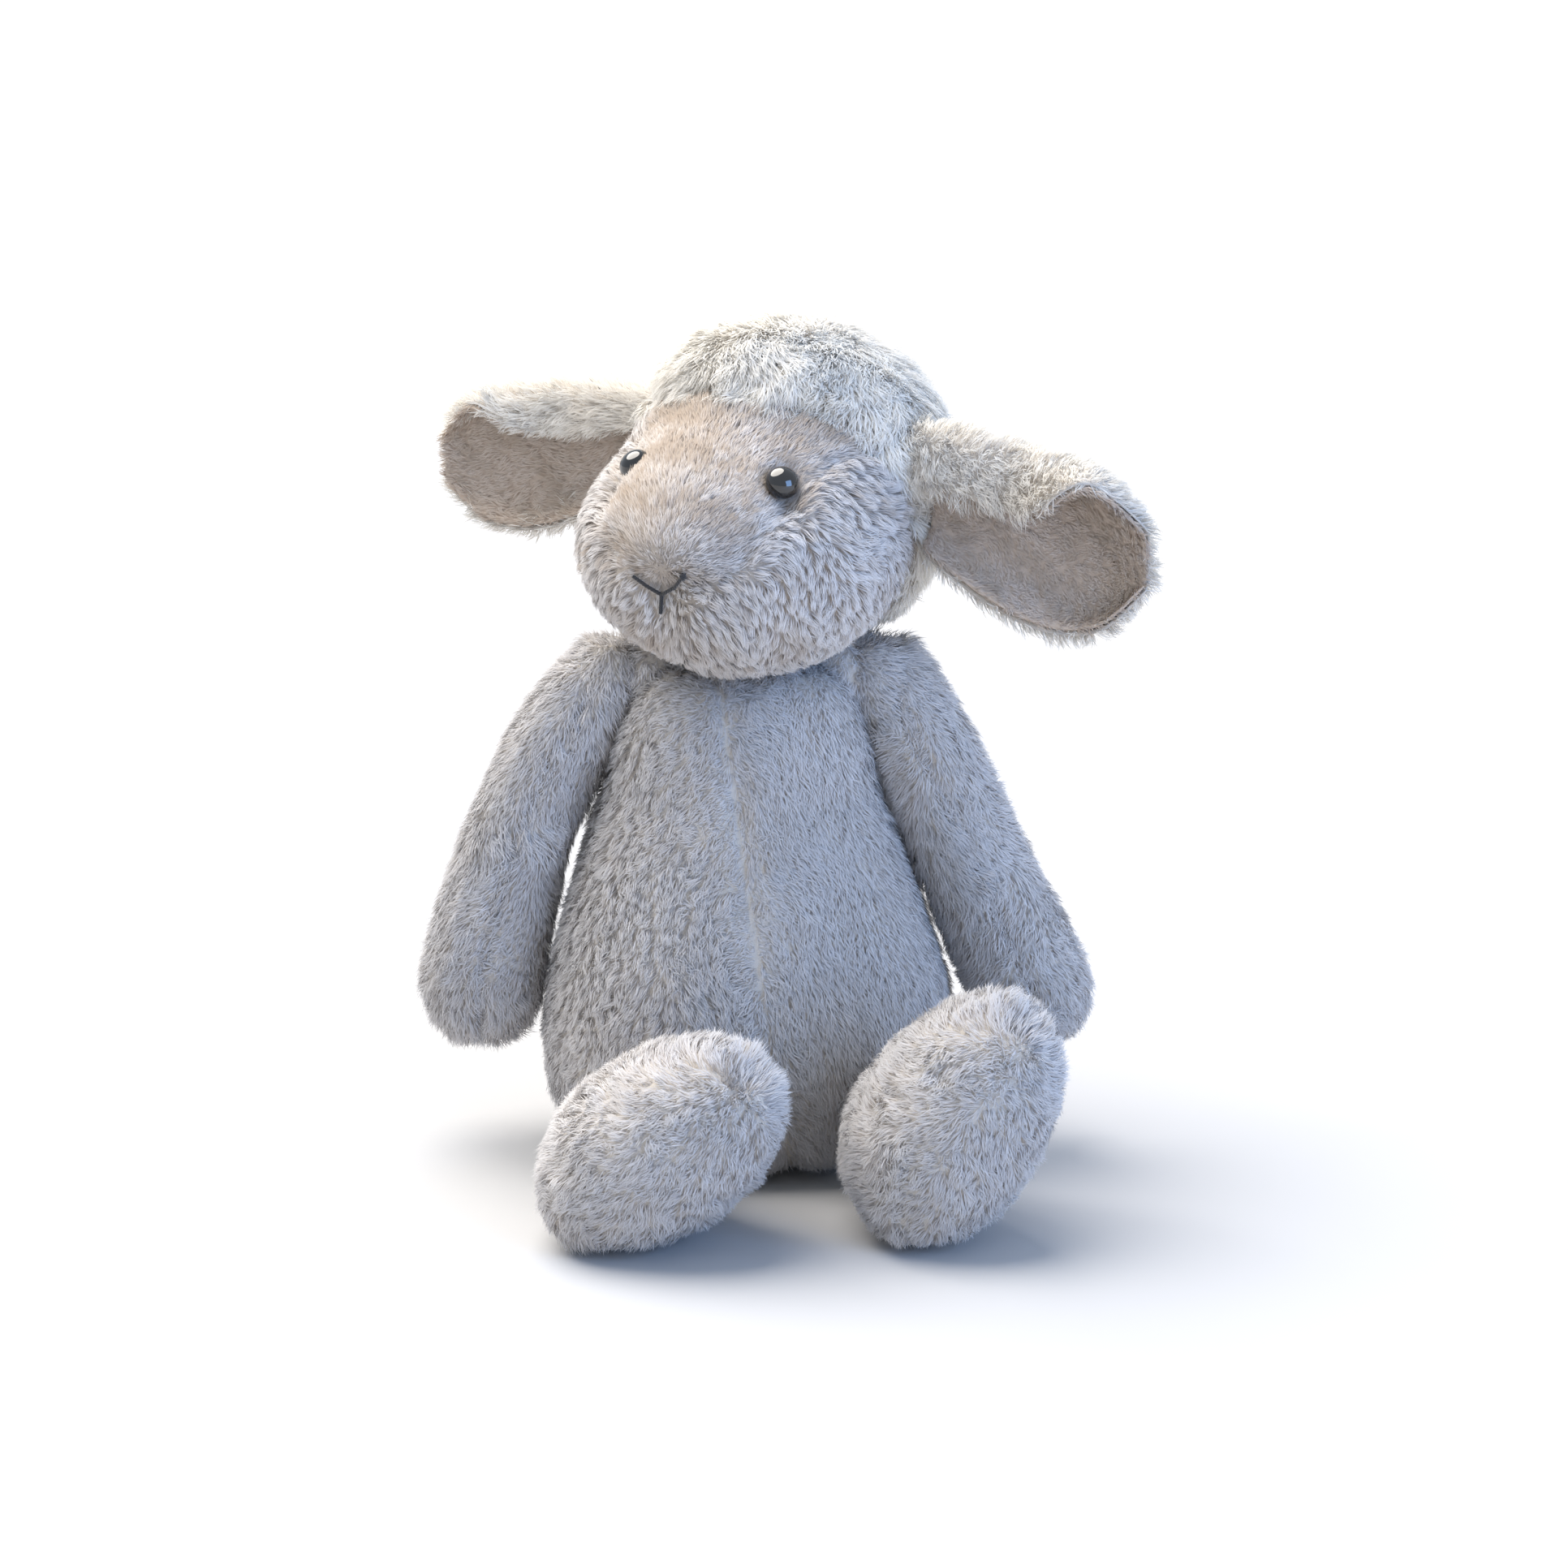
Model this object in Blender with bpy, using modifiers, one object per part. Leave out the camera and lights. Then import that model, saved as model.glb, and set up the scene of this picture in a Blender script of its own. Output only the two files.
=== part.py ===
"""A seated plush lamb, made as it is sewn: pile fabric panels round loose stuffing cores.

The lamb faces -Y and sits on the plane z = 0, with the middle of its seat at the origin.
Left and right are as someone facing the lamb sees them, so left is -X.
Each limb, the head, the ears and the tail hang from an empty that lies on their joint.
"""

import math

import bmesh
import bpy
import numpy as np
from mathutils import Euler, Matrix, Vector

MM = 0.001

# Fabric and sewing
FABRIC = 1.2 * MM
SEAM_GAP = 0.6 * MM
STUFFING_INSET = FABRIC + 1.6 * MM
THREAD_RADIUS = 0.4 * MM
SIDES = {"left": -1, "right": 1}

# Torso: height, shift to the right, half width and half depth of each level, in millimetres
TORSO_LEVELS = (
    (0, 0, 0, 0),
    (0, 0, 14, 12),
    (0, 0, 26, 23),
    (3, 0, 36, 31),
    (10, 0, 43.5, 37.5),
    (22, 0, 47.5, 41),
    (36, 0, 47, 40),
    (52, -0.4, 43.3, 37),
    (70, -1.0, 37.5, 31.5),
    (88, -1.4, 31, 26),
    (99, -1.2, 26, 22),
    (107, -0.5, 20.5, 17.5),
    (111, 0, 15, 13),
    (112.8, 0, 7.5, 7),
    (113, 0, 0, 0),
)
SEAT_RISE = 0.125
TORSO_TOP_RISE = 0.975
# The torso's run from seat to top, and the seat panel's gap as a share of it
TORSO_RUN = 1.6 * 113 * MM
SEAT_GAP_RISE = SEAM_GAP / TORSO_RUN

# A flat pouch of beans in the stuffing: its radius, how it is flattened, its place and its pocket
POUCH_RADIUS = 24 * MM
POUCH_CLEARANCE = 1 * MM
POUCH_FLATTENING = (1, 0.85, 0.42, 1)
POUCH_PLACE = Vector((0, 2, 14)) * MM
POUCH_WAY_IN = {"radius": 4 * MM, "length": 120 * MM, "middle": 74 * MM}

# Neck and head
NECK_SEAM = Vector((0, 1, 115.5)) * MM
NECK_RING = 9.5 * MM
NOD_PIVOT = Vector((0, 1, 132)) * MM
HEAD_CENTRE = Vector((7.6, 4, 154.8)) * MM
HEAD_TURN = math.radians(-30)
HEAD_ROLL = math.radians(2)
# The head is two merged balls, both seen from the middle of the first: half sizes and place
CRANIUM = Vector((35.5, 35.5, 36)) * MM
MUZZLE = Vector((36.5, 35, 29)) * MM
MUZZLE_CENTRE = Vector((0, -19, -6.5)) * MM
MERGE = 1.5 * MM
EYE_HOLLOW = 3.2 * MM
EYE_HOLLOW_SPREAD = math.radians(24)
NOSE_ANGLE = -10
GUSSET_NOSE = 9
GUSSET_BROW = 55
GUSSET_ROUNDING = 0.35
CHEEK_CLOSING = 10
CAP_EDGE = 56
CAP_BACK = 135
EAR_POLE = 81
NECK_HALF_OPENING = 20

# Eyes: a turned bead on a shank, locked by a washer behind the fabric
EYE_DIRECTION = Vector((18.8, -32.5, 11.0))
# The bead's dome and the neck under it, as rows of radius and height in millimetres
EYE_DOME = ((0, 3.9), (1.6, 3.5), (2.9, 2.6), (3.6, 1.5), (3.8, 0.9), (3.2, 0.5), (1.3, 0.45))
EYE_SHANK_RADIUS = 1.3 * MM
EYE_SHANK = 8.0 * MM
EYE_HOLE_CLEARANCE = 0.3 * MM
EYE_HOLE_DEPTH = 12 * MM
EYE_SEGMENTS = 14
WASHER_RADIUS = 5.5 * MM
WASHER_THICKNESS = 1.0 * MM
WASHER_BEHIND = 1.4 * MM
WASHER_BORE_CLEARANCE = 0.25 * MM
WASHER_POCKET_CLEARANCE = 0.5 * MM
WASHER_POCKET_LENGTH = 2 * (EYE_SHANK + 1 * MM)

# Nose: a V of thread, in degrees round the head, and the stem below it
NOSE_ABOVE_FABRIC = 0.8 * MM
NOSE_DROP = 3
NOSE_RISE = 5
NOSE_WIDTH = 15
NOSE_STEPS = 10
MOUTH_FALL = 4
MOUTH_STEPS = 4

# Ears: a leaf folded lengthwise, its outline given by half heights in millimetres from root to tip
EAR_LENGTH = 57 * MM
EAR_ROOT = Vector((37, 2.5, 9.5)) * MM
EAR_SWEEP = math.radians(2)
EAR_DROOP = math.radians(13.5)
EAR_SIZE = {"left": 0.9, "right": 1.14}
EAR_HALF_HEIGHTS = ((0, 15.5), (0.3, 20), (0.55, 21.5), (0.78, 18.5), (0.93, 11.5), (1, 5))
# Across the fold, in half heights: the back, the roll at the top and the flap in front
EAR_BACK = {"left": 1.72, "right": 1.55}
EAR_ROLL = 0.78
EAR_FLAP = 0.40
EAR_LAYER_GAP = 0.5 * MM
EAR_STEPS = 60
# The roll's turn, how much of it is lost at the tip, and from which share of the length
EAR_FOLD = math.radians(172)
EAR_UNFOLD = math.radians(150)
EAR_UNFOLD_FROM = 0.55
# The lower rim's lip: its turn forward and its length in half heights
EAR_LIP = math.radians(-62)
EAR_LIP_LENGTH = 0.68
EAR_LIP_FORWARD = 3.2 * MM

# Arms: height above the shoulder, half width and half depth, in millimetres
SHOULDER = Vector((30.5, 2, 113.5)) * MM
SHOULDER_RING_X = 21.6 * MM
SHOULDER_RING = 5.0 * MM
ARM_LEVELS = (
    (9.5, 0, 0),
    (8.5, 4.5, 4.5),
    (5, 8, 8),
    (-2, 10.2, 9.8),
    (-13, 11.5, 10.5),
    (-27, 11, 10.2),
    (-42, 11, 10.2),
    (-58, 12, 11),
    (-72, 12.5, 11.2),
    (-81, 10.5, 9.2),
    (-86.5, 5.5, 4.8),
    (-88, 0, 0),
)
# Shares of the arm's run between which its two panels reach
ARM_RISES = (0.05, 0.955)
# How far outward each arm's levels lie from the shoulder
ARM_OUT = {
    "left": (0, 0.5, 2, 5, 12.5, 19, 25.5, 30, 32.5, 33, 33, 33),
    "right": (0, 0.3, 1, 3, 8.5, 15, 22, 30, 36, 38, 38.5, 38.5),
}

# Legs: distance ahead of the hip, shift towards the toe, half length and half width of the ring
HIP = {"left": Vector((-26, -51, 17.4)) * MM, "right": Vector((36, -48, 18.4)) * MM}
HIP_RING = 6.0 * MM
HIP_RING_BACK = 13.2 * MM
LEG_LEVELS = (
    (-12.2, 0, 0, 0),
    (-11.2, 0, 5, 5),
    (-7.5, 0, 9.8, 9.8),
    (0, 0, 12.6, 12.6),
    (6, 3, 18, 16),
    (12, 7, 25, 18),
    (19, 10, 29, 19),
    (26, 11, 30, 19),
    (33, 11.3, 28, 17),
    (39, 11.3, 21, 12.5),
    (42.5, 11.3, 10, 6.5),
    (43.5, 11.3, 0, 0),
)
# Shares of a leg's run where its panels start, where they meet the sole, and the gap there
LEG_START_RISE = 0.06
SOLE_RISE = 0.72
SOLE_GAP_RISE = 0.008
TOE_LEAN = {"left": math.radians(37), "right": math.radians(61)}
LEG_SPLAY = {"left": math.radians(-4), "right": math.radians(13)}

# Tail: distance behind its root, half width and half height, in millimetres
TAIL_ROOT = Vector((0, 41.5, 28)) * MM
TAIL_LEVELS = ((0, 0, 0), (1.5, 6, 6), (7, 9.5, 9), (15, 10, 9.5), (21, 6.5, 6), (23, 0, 0))
TAIL_COVER_RISE = 0.2

CREAM = (0.86, 0.82, 0.76)
FACE_CREAM = (0.80, 0.73, 0.65)
LINING_BEIGE = (0.70, 0.62, 0.55)
FILL_WHITE = (0.93, 0.93, 0.92)
BLACK = (0.012, 0.012, 0.014)


def clear_scene():
    for obj in list(bpy.data.objects):
        bpy.data.objects.remove(obj, do_unlink=True)


def new_collection(name):
    collection = bpy.data.collections.new(name)
    bpy.context.scene.collection.children.link(collection)
    return collection


def material(name, colour, roughness, metallic=0.0):
    made = bpy.data.materials.new(name)
    made.use_nodes = True
    shader = made.node_tree.nodes["Principled BSDF"]
    shader.inputs["Base Color"].default_value = (*colour, 1)
    shader.inputs["Roughness"].default_value = roughness
    shader.inputs["Metallic"].default_value = metallic
    return made


def empty(name, location, parent=None, rotation=(0, 0, 0)):
    made = bpy.data.objects.new(name, None)
    made.empty_display_size = 10 * MM
    made.location = location
    made.rotation_euler = rotation
    made.parent = parent
    PARTS.objects.link(made)
    return made


def add_mesh(name, bm, look, parent, smooth=True):
    """Turns a bmesh into a named object under its parent."""
    mesh = bpy.data.meshes.new(name)
    bm.to_mesh(mesh)
    bm.free()
    if smooth:
        mesh.shade_smooth()
    mesh.materials.append(look)
    made = bpy.data.objects.new(name, mesh)
    made.parent = parent
    PARTS.objects.link(made)
    return made


def smooth_through(points, steps=12):
    """Catmull-Rom samples through the rows of points, ends included."""
    rows = np.array(points, float)
    padded = np.vstack([2 * rows[0] - rows[1], rows, 2 * rows[-1] - rows[-2]])
    samples = []
    for i in range(1, len(padded) - 2):
        before, start, end, after = padded[i - 1:i + 3]
        for k in range(steps):
            t = k / steps
            samples.append(0.5 * (
                2 * start + (end - before) * t
                + (2 * before - 5 * start + 4 * end - after) * t ** 2
                + (3 * start - before - 3 * end + after) * t ** 3
            ))
    samples.append(rows[-1])
    return np.array(samples)


class Rings:
    """A stack of elliptical rings, read at a turn round it and a rise along it, both 0 to 1.

    levels are rows of the distance along, the shift across and the two half sizes.
    """

    def __init__(self, levels, along, first, second, shift=None, floor=None):
        rows = smooth_through(levels) * MM
        rows[:, 2:] = np.maximum(rows[:, 2:], 0)
        self.rows = rows
        self.along, self.first, self.second = along, first, second
        self.shift = shift or first
        self.floor = floor
        steps = np.hypot(np.diff(rows[:, 0]), np.diff(rows[:, 2]))
        self.places = np.concatenate([[0], np.cumsum(steps)])
        self.places /= self.places[-1]

    def level(self, rise):
        return [np.interp(rise, self.places, self.rows[:, k]) for k in range(4)]

    def middle(self, rise):
        return (self(0, rise) + self(0.5, rise)) / 2

    def radius(self, rise):
        _, _, half_first, half_second = self.level(rise)
        return max((half_first + half_second) / 2, 0.5 * MM)

    def __call__(self, turn, rise):
        distance, shift, half_first, half_second = self.level(rise)
        angle = 2 * math.pi * turn
        point = (
            self.along * distance
            + self.shift * shift
            + self.first * (half_first * math.cos(angle))
            + self.second * (half_second * math.sin(angle))
        )
        if self.floor is not None:
            point.z = max(point.z, self.floor)
        return point


def true_normal(place, a, b):
    """The unit normal of place(a, b), the same on both sides of a seam."""
    step = 0.01
    along_a = place(a + step, b) - place(a - step, b)
    along_b = place(a, b + step) - place(a, b - step)
    return along_a.cross(along_b).normalized()


def close_outwards(bm):
    """Turns a closed body's faces outwards and updates its normals."""
    bmesh.ops.recalc_face_normals(bm, faces=bm.faces)
    if bm.calc_volume(signed=True) < 0:
        bmesh.ops.reverse_faces(bm, faces=bm.faces)
    bm.normal_update()


def panel(name, outer, inner, look, parent, across=6, along=10):
    """A sewn panel: a thick sheet between outer(a, b) and inner(a, b), a and b from 0 to 1."""
    bm = bmesh.new()
    bmesh.ops.create_grid(bm, x_segments=across, y_segments=along, size=1)
    outside = set(bm.verts)
    bmesh.ops.extrude_face_region(bm, geom=bm.faces[:])
    for vert in bm.verts:
        place = outer if vert in outside else inner
        vert.co = place((vert.co.x + 1) / 2, (vert.co.y + 1) / 2)
    close_outwards(bm)
    return add_mesh(name, bm, look, parent)


def inner_face(place, middle):
    """The place a fabric's thickness below place, on the side that middle is on."""
    side = math.copysign(1, true_normal(place, 0.5, 0.5).dot(middle - place(0.5, 0.5)))
    return lambda a, b: place(a, b) + true_normal(place, a, b) * side * FABRIC


def ring_panel(name, rings, turns, rises, look, parent, across=6, along=10):
    """A panel on a stack of rings between two turns, kept clear of its neighbours at the seams."""
    def place(a, b):
        rise = rises[0] + (rises[1] - rises[0]) * b
        inset = SEAM_GAP / 2 / (2 * math.pi * rings.radius(rise))
        return rings(turns[0] + inset + (turns[1] - turns[0] - 2 * inset) * a, rise)
    middle = rings.middle((rises[0] + rises[1]) / 2)
    return panel(name, place, inner_face(place, middle), look, parent, across, along)


def end_cap(name, rings, rises, look, parent, segments=20, steps=5, thickness=FABRIC):
    """A panel that closes one end of a stack of rings, from rises[0] at its rim to rises[1]."""
    bm = bmesh.new()
    bmesh.ops.create_uvsphere(bm, u_segments=segments, v_segments=2 * steps, radius=1)
    lower = [vert for vert in bm.verts if vert.co.z < -0.001]
    bmesh.ops.delete(bm, geom=lower, context="VERTS")
    for vert in bm.verts:
        height = math.asin(min(1, vert.co.z)) / (math.pi / 2)
        turn = math.atan2(vert.co.y, vert.co.x) / (2 * math.pi)
        vert.co = rings(turn, rises[0] + (rises[1] - rises[0]) * height)
    inside = rings.middle(0.5)
    bm.normal_update()
    top = max(bm.verts, key=lambda vert: vert.co.z if rises[0] < rises[1] else -vert.co.z)
    if top.normal.dot(top.co - inside) < 0:
        bmesh.ops.reverse_faces(bm, faces=bm.faces)
    made = add_mesh(name, bm, look, parent)
    solid = made.modifiers.new("thickness", "SOLIDIFY")
    solid.thickness = thickness
    solid.offset = -1
    return made


def core(name, surface, look, parent, segments=16, steps=12, inset=STUFFING_INSET):
    """A stuffing core: a closed body inside the covers, read from surface(turn, rise)."""
    bm = bmesh.new()
    bmesh.ops.create_uvsphere(bm, u_segments=segments, v_segments=steps, radius=1)
    for vert in bm.verts:
        rise = 1 - math.acos(max(-1, min(1, vert.co.z))) / math.pi
        turn = math.atan2(vert.co.y, vert.co.x) / (2 * math.pi)
        vert.co = surface(turn, rise)
    close_outwards(bm)
    moved = {vert: vert.co - vert.normal * inset for vert in bm.verts}
    for vert, place in moved.items():
        vert.co = place
    return add_mesh(name, bm, look, parent)


def ring_stitching(name, radius, look, parent, matrix):
    """A closed ring of sewing thread round a seam."""
    bpy.ops.mesh.primitive_torus_add(
        major_radius=radius, minor_radius=THREAD_RADIUS, major_segments=16, minor_segments=4
    )
    made = bpy.context.object
    made.name = name
    made.data.name = name
    for collection in list(made.users_collection):
        collection.objects.unlink(made)
    PARTS.objects.link(made)
    made.data.shade_smooth()
    made.data.materials.append(look)
    made.parent = parent
    made.matrix_local = matrix
    return made


def cut(target, cutter):
    boolean = target.modifiers.new("cut", "BOOLEAN")
    boolean.operation = "DIFFERENCE"
    boolean.object = cutter


def rod_cutter(name, radius, length, parent, matrix):
    bm = bmesh.new()
    bmesh.ops.create_cone(
        bm, cap_ends=True, segments=16, radius1=radius, radius2=radius, depth=length
    )
    mesh = bpy.data.meshes.new(name)
    bm.to_mesh(mesh)
    bm.free()
    made = bpy.data.objects.new(name, mesh)
    made.parent = parent
    made.matrix_local = matrix
    made.hide_render = True
    made.display_type = "WIRE"
    CUTTERS.objects.link(made)
    return made


def torso():
    rings = Rings(TORSO_LEVELS, Vector((0, 0, 1)), Vector((1, 0, 0)), Vector((0, 1, 0)), floor=0)
    rises = (SEAT_RISE, TORSO_TOP_RISE)
    quarters = {
        "torso_back_right": (0.0, 0.25),
        "torso_back_left": (0.25, 0.5),
        "torso_front_left": (0.5, 0.75),
        "torso_front_right": (0.75, 1.0),
    }
    for name, turns in quarters.items():
        ring_panel(name, rings, turns, rises, PILE, None, across=5, along=11)
    end_cap("seat_panel", rings, (SEAT_RISE - SEAT_GAP_RISE, 0), PILE, None, steps=2)
    stuffing = core("torso_stuffing", rings, FILL, None, segments=16, steps=13)
    bean_pouch(stuffing, Matrix.Translation(POUCH_PLACE) @ Matrix.Diagonal(POUCH_FLATTENING))


def bean_pouch(stuffing, place):
    """A flat pouch of beans low in the stuffing, which keeps the lamb seated."""
    def flat_ball(name, radius):
        bm = bmesh.new()
        bmesh.ops.create_uvsphere(bm, u_segments=16, v_segments=8, radius=radius)
        bmesh.ops.transform(bm, matrix=place, verts=bm.verts)
        return add_mesh(name, bm, POUCH, None)

    flat_ball("bean_pouch", POUCH_RADIUS)
    space = flat_ball("bean_pouch_space", POUCH_RADIUS + POUCH_CLEARANCE)
    PARTS.objects.unlink(space)
    CUTTERS.objects.link(space)
    space.hide_render = True
    space.display_type = "WIRE"
    cut(stuffing, space)
    # The stuffing is pushed in from above, so the pouch's pocket has a way out to the top.
    upright = Matrix.Translation((0, 0, POUCH_WAY_IN["middle"]))
    opening = rod_cutter(
        "bean_pouch_way_in", POUCH_WAY_IN["radius"], POUCH_WAY_IN["length"], None, upright
    )
    cut(stuffing, opening)


def distance_through(direction, centre, half_sizes):
    """How far a ray from the head's middle runs before it leaves a ball with these half sizes."""
    ray = Vector(direction[k] / half_sizes[k] for k in range(3))
    middle = Vector(centre[k] / half_sizes[k] for k in range(3))
    ahead = ray.dot(middle)
    return (ahead + math.sqrt(ahead ** 2 - ray.dot(ray) * (middle.dot(middle) - 1))) / ray.dot(ray)


def head_point(around, aside):
    """A point of the head's skin; around is degrees up from straight ahead, aside is degrees
    towards the right ear."""
    up, side = math.radians(around), math.radians(aside)
    direction = Vector(
        (math.sin(side), -math.cos(side) * math.cos(up), math.cos(side) * math.sin(up))
    )
    cranium = distance_through(direction, Vector(), CRANIUM)
    muzzle = distance_through(direction, MUZZLE_CENTRE, MUZZLE)
    distance = MERGE * math.log(math.exp(cranium / MERGE) + math.exp(muzzle / MERGE))
    for sign in SIDES.values():
        away = direction.angle(Vector((sign * EYE_DIRECTION.x, EYE_DIRECTION.y, EYE_DIRECTION.z)))
        distance -= EYE_HOLLOW * math.exp(-(away / EYE_HOLLOW_SPREAD) ** 2)
    return direction * distance


def gusset_half_width(around):
    """How far aside the face gusset reaches, in degrees: narrow at the nose, wide at the brow."""
    share = min(max((around - NOSE_ANGLE) / (CAP_EDGE - NOSE_ANGLE), 0), 1)
    flare = GUSSET_ROUNDING * share ** 0.25 + (1 - GUSSET_ROUNDING) * share
    return GUSSET_NOSE + (GUSSET_BROW - GUSSET_NOSE) * flare


def head_panel(name, arounds, asides, look, parent, across, along):
    """A head panel. asides gives its two edges for each height; the seams stay clear."""
    def place(a, b):
        half_gap = math.degrees(SEAM_GAP / 2 / CRANIUM.z)
        low, high = asides(arounds[0] + (arounds[1] - arounds[0]) * b)
        aside = low + half_gap + (high - low - 2 * half_gap) * a
        sideways = half_gap / max(math.cos(math.radians(aside)), 0.1)
        start, end = arounds[0] + sideways, arounds[1] - sideways
        return head_point(start + (end - start) * b, aside)
    return panel(name, place, inner_face(place, Vector()), look, parent, across, along)


def head(joint):
    from_pivot = joint.rotation_euler.to_matrix().inverted() @ (HEAD_CENTRE - NOD_PIVOT)
    frame = empty("head_frame", from_pivot, joint)
    gusset = head_panel(
        "face_gusset", (NOSE_ANGLE, CAP_EDGE),
        lambda up: (-gusset_half_width(up), gusset_half_width(up)),
        FACE_PILE, frame, across=7, along=7,
    )
    head_panel(
        "cheek_right", (-90 + NECK_HALF_OPENING, CAP_EDGE),
        lambda up: (cheek_inner(up), EAR_POLE), FACE_PILE, frame, across=5, along=11,
    )
    head_panel(
        "cheek_left", (-90 + NECK_HALF_OPENING, CAP_EDGE),
        lambda up: (-EAR_POLE, -cheek_inner(up)), FACE_PILE, frame, across=5, along=11,
    )
    head_panel(
        "head_cap", (CAP_EDGE, CAP_BACK), lambda up: (-EAR_POLE, EAR_POLE),
        LONG_PILE, frame, across=12, along=6,
    )
    head_panel(
        "head_back", (CAP_BACK, 270 - NECK_HALF_OPENING), lambda up: (-EAR_POLE, EAR_POLE),
        LONG_PILE, frame, across=12, along=7,
    )
    stuffing = core(
        "head_stuffing", lambda turn, rise: head_point(360 * turn, 180 * rise - 90),
        FILL, frame, segments=16, steps=12,
    )
    for side, sign in SIDES.items():
        eye(side, sign, frame, stuffing, gusset)
    nose(frame)
    return frame


def cheek_inner(up):
    """The cheek's inner edge in degrees aside: the gusset above the nose, the middle below it."""
    if up >= NOSE_ANGLE:
        return gusset_half_width(up)
    return GUSSET_NOSE * math.exp(-((up - NOSE_ANGLE) / CHEEK_CLOSING) ** 2)


def look_along(point, direction):
    """A matrix at point whose +Z runs along direction."""
    return Matrix.Translation(point) @ direction.to_track_quat("Z", "Y").to_matrix().to_4x4()


def eye(side, sign, frame, stuffing, gusset):
    """A glossy bead whose shank goes through the fabric into a lock washer."""
    aim = Vector((sign * EYE_DIRECTION.x, EYE_DIRECTION.y, EYE_DIRECTION.z)).normalized()
    aside = math.degrees(math.asin(aim.x))
    around = math.degrees(math.atan2(aim.z, -aim.y))
    seat = head_point(around, aside)
    normal = true_normal(head_point, around, aside)
    matrix = look_along(seat, normal if normal.dot(aim) > 0 else -normal)
    shank_end = -EYE_SHANK / MM
    outline = [*EYE_DOME, (EYE_SHANK_RADIUS / MM, shank_end), (0, shank_end)]
    turned("eye_" + side, outline, EYE_SEGMENTS, BEAD, frame, matrix)
    washer_back = -(FABRIC + WASHER_BEHIND + WASHER_THICKNESS) / MM
    washer_front = washer_back + WASHER_THICKNESS / MM
    inner = (EYE_SHANK_RADIUS + WASHER_BORE_CLEARANCE) / MM
    outer = WASHER_RADIUS / MM
    washer = [(inner, washer_back), (inner, washer_front), (outer, washer_front),
              (outer, washer_back), (inner, washer_back)]
    turned("eye_washer_" + side, washer, EYE_SEGMENTS, WASHER, frame, matrix)
    hole_radius = EYE_SHANK_RADIUS + EYE_HOLE_CLEARANCE
    cut(gusset, rod_cutter("eye_hole_" + side, hole_radius, EYE_HOLE_DEPTH, frame, matrix))
    pocket_radius = WASHER_RADIUS + WASHER_POCKET_CLEARANCE
    pocket = rod_cutter(
        "eye_pocket_" + side, pocket_radius, WASHER_POCKET_LENGTH, frame, matrix
    )
    cut(stuffing, pocket)


def turned(name, outline, segments, look, parent, matrix):
    """A turned piece from an outline of (radius, height) in millimetres, run down its outer side."""
    mesh = bpy.data.meshes.new(name)
    points = [(radius * MM, 0, height * MM) for radius, height in outline]
    closed = outline[0] == outline[-1]
    if closed:
        points = points[:-1]
    edges = [(k, k + 1) for k in range(len(points) - 1)]
    if closed:
        edges.append((len(points) - 1, 0))
    mesh.from_pydata(points, edges, [])
    mesh.materials.append(look)
    made = bpy.data.objects.new(name, mesh)
    made.parent = parent
    made.matrix_local = matrix
    PARTS.objects.link(made)
    screw = made.modifiers.new("turn", "SCREW")
    screw.steps = screw.render_steps = segments
    screw.use_merge_vertices = True
    screw.merge_threshold = 0.00001
    screw.use_smooth_shade = True
    return made


def thread(name, points, look, parent):
    curve = bpy.data.curves.new(name, "CURVE")
    curve.dimensions = "3D"
    curve.bevel_depth = THREAD_RADIUS
    curve.bevel_resolution = 1
    curve.use_fill_caps = True
    spline = curve.splines.new("POLY")
    spline.points.add(len(points) - 1)
    for target, point in zip(spline.points, points):
        target.co = (*point, 1)
    curve.materials.append(look)
    made = bpy.data.objects.new(name, curve)
    made.parent = parent
    PARTS.objects.link(made)
    return made


def nose(frame):
    """The embroidered nose: a shallow V of thread, and a short stem down to the mouth."""
    def on_face(around, aside):
        point = head_point(around, aside)
        return point + point.normalized() * (THREAD_RADIUS + NOSE_ABOVE_FABRIC)

    wings = []
    for k in range(NOSE_STEPS + 1):
        share = k / NOSE_STEPS - 0.5
        up = NOSE_ANGLE - NOSE_DROP + NOSE_RISE * 2 * abs(share)
        wings.append(on_face(up, share * NOSE_WIDTH))
    thread("nose_thread", wings, THREAD, frame)
    mouth_top = NOSE_ANGLE - NOSE_DROP - 1
    stem = [on_face(mouth_top - MOUTH_FALL * k / MOUTH_STEPS, 0) for k in range(MOUTH_STEPS + 1)]
    thread("mouth_thread", stem, THREAD, frame)


def ear_half_height(share):
    rows = smooth_through(EAR_HALF_HEIGHTS)
    return float(np.interp(share, rows[:, 0], rows[:, 1])) * MM


def ear_section(side, share, across, offset):
    """Height and forward place across the folded leaf: 0 at the lower rim, 1 at the flap's edge.

    The leaf rises from a forward lip, folds over at the top and comes down in front.
    offset is how far inside the fold the place lies.
    """
    half = ear_half_height(share) * EAR_SIZE[side]
    opened = max(share - EAR_UNFOLD_FROM, 0) / (1 - EAR_UNFOLD_FROM)
    fold = EAR_FOLD - EAR_UNFOLD * opened
    back = EAR_BACK[side]
    length = back + EAR_ROLL + EAR_FLAP
    step = length / EAR_STEPS
    height, forward = -half, EAR_LIP_FORWARD
    angle = EAR_LIP
    for k in range(round(across * EAR_STEPS)):
        place = (k + 0.5) * step
        lip = EAR_LIP * max(0, 1 - place / EAR_LIP_LENGTH)
        angle = lip + fold * min(max((place - back) / EAR_ROLL, 0), 1)
        height += math.cos(angle) * step * half
        forward += math.sin(angle) * step * half
    return height - math.sin(angle) * offset, forward + math.cos(angle) * offset


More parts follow.
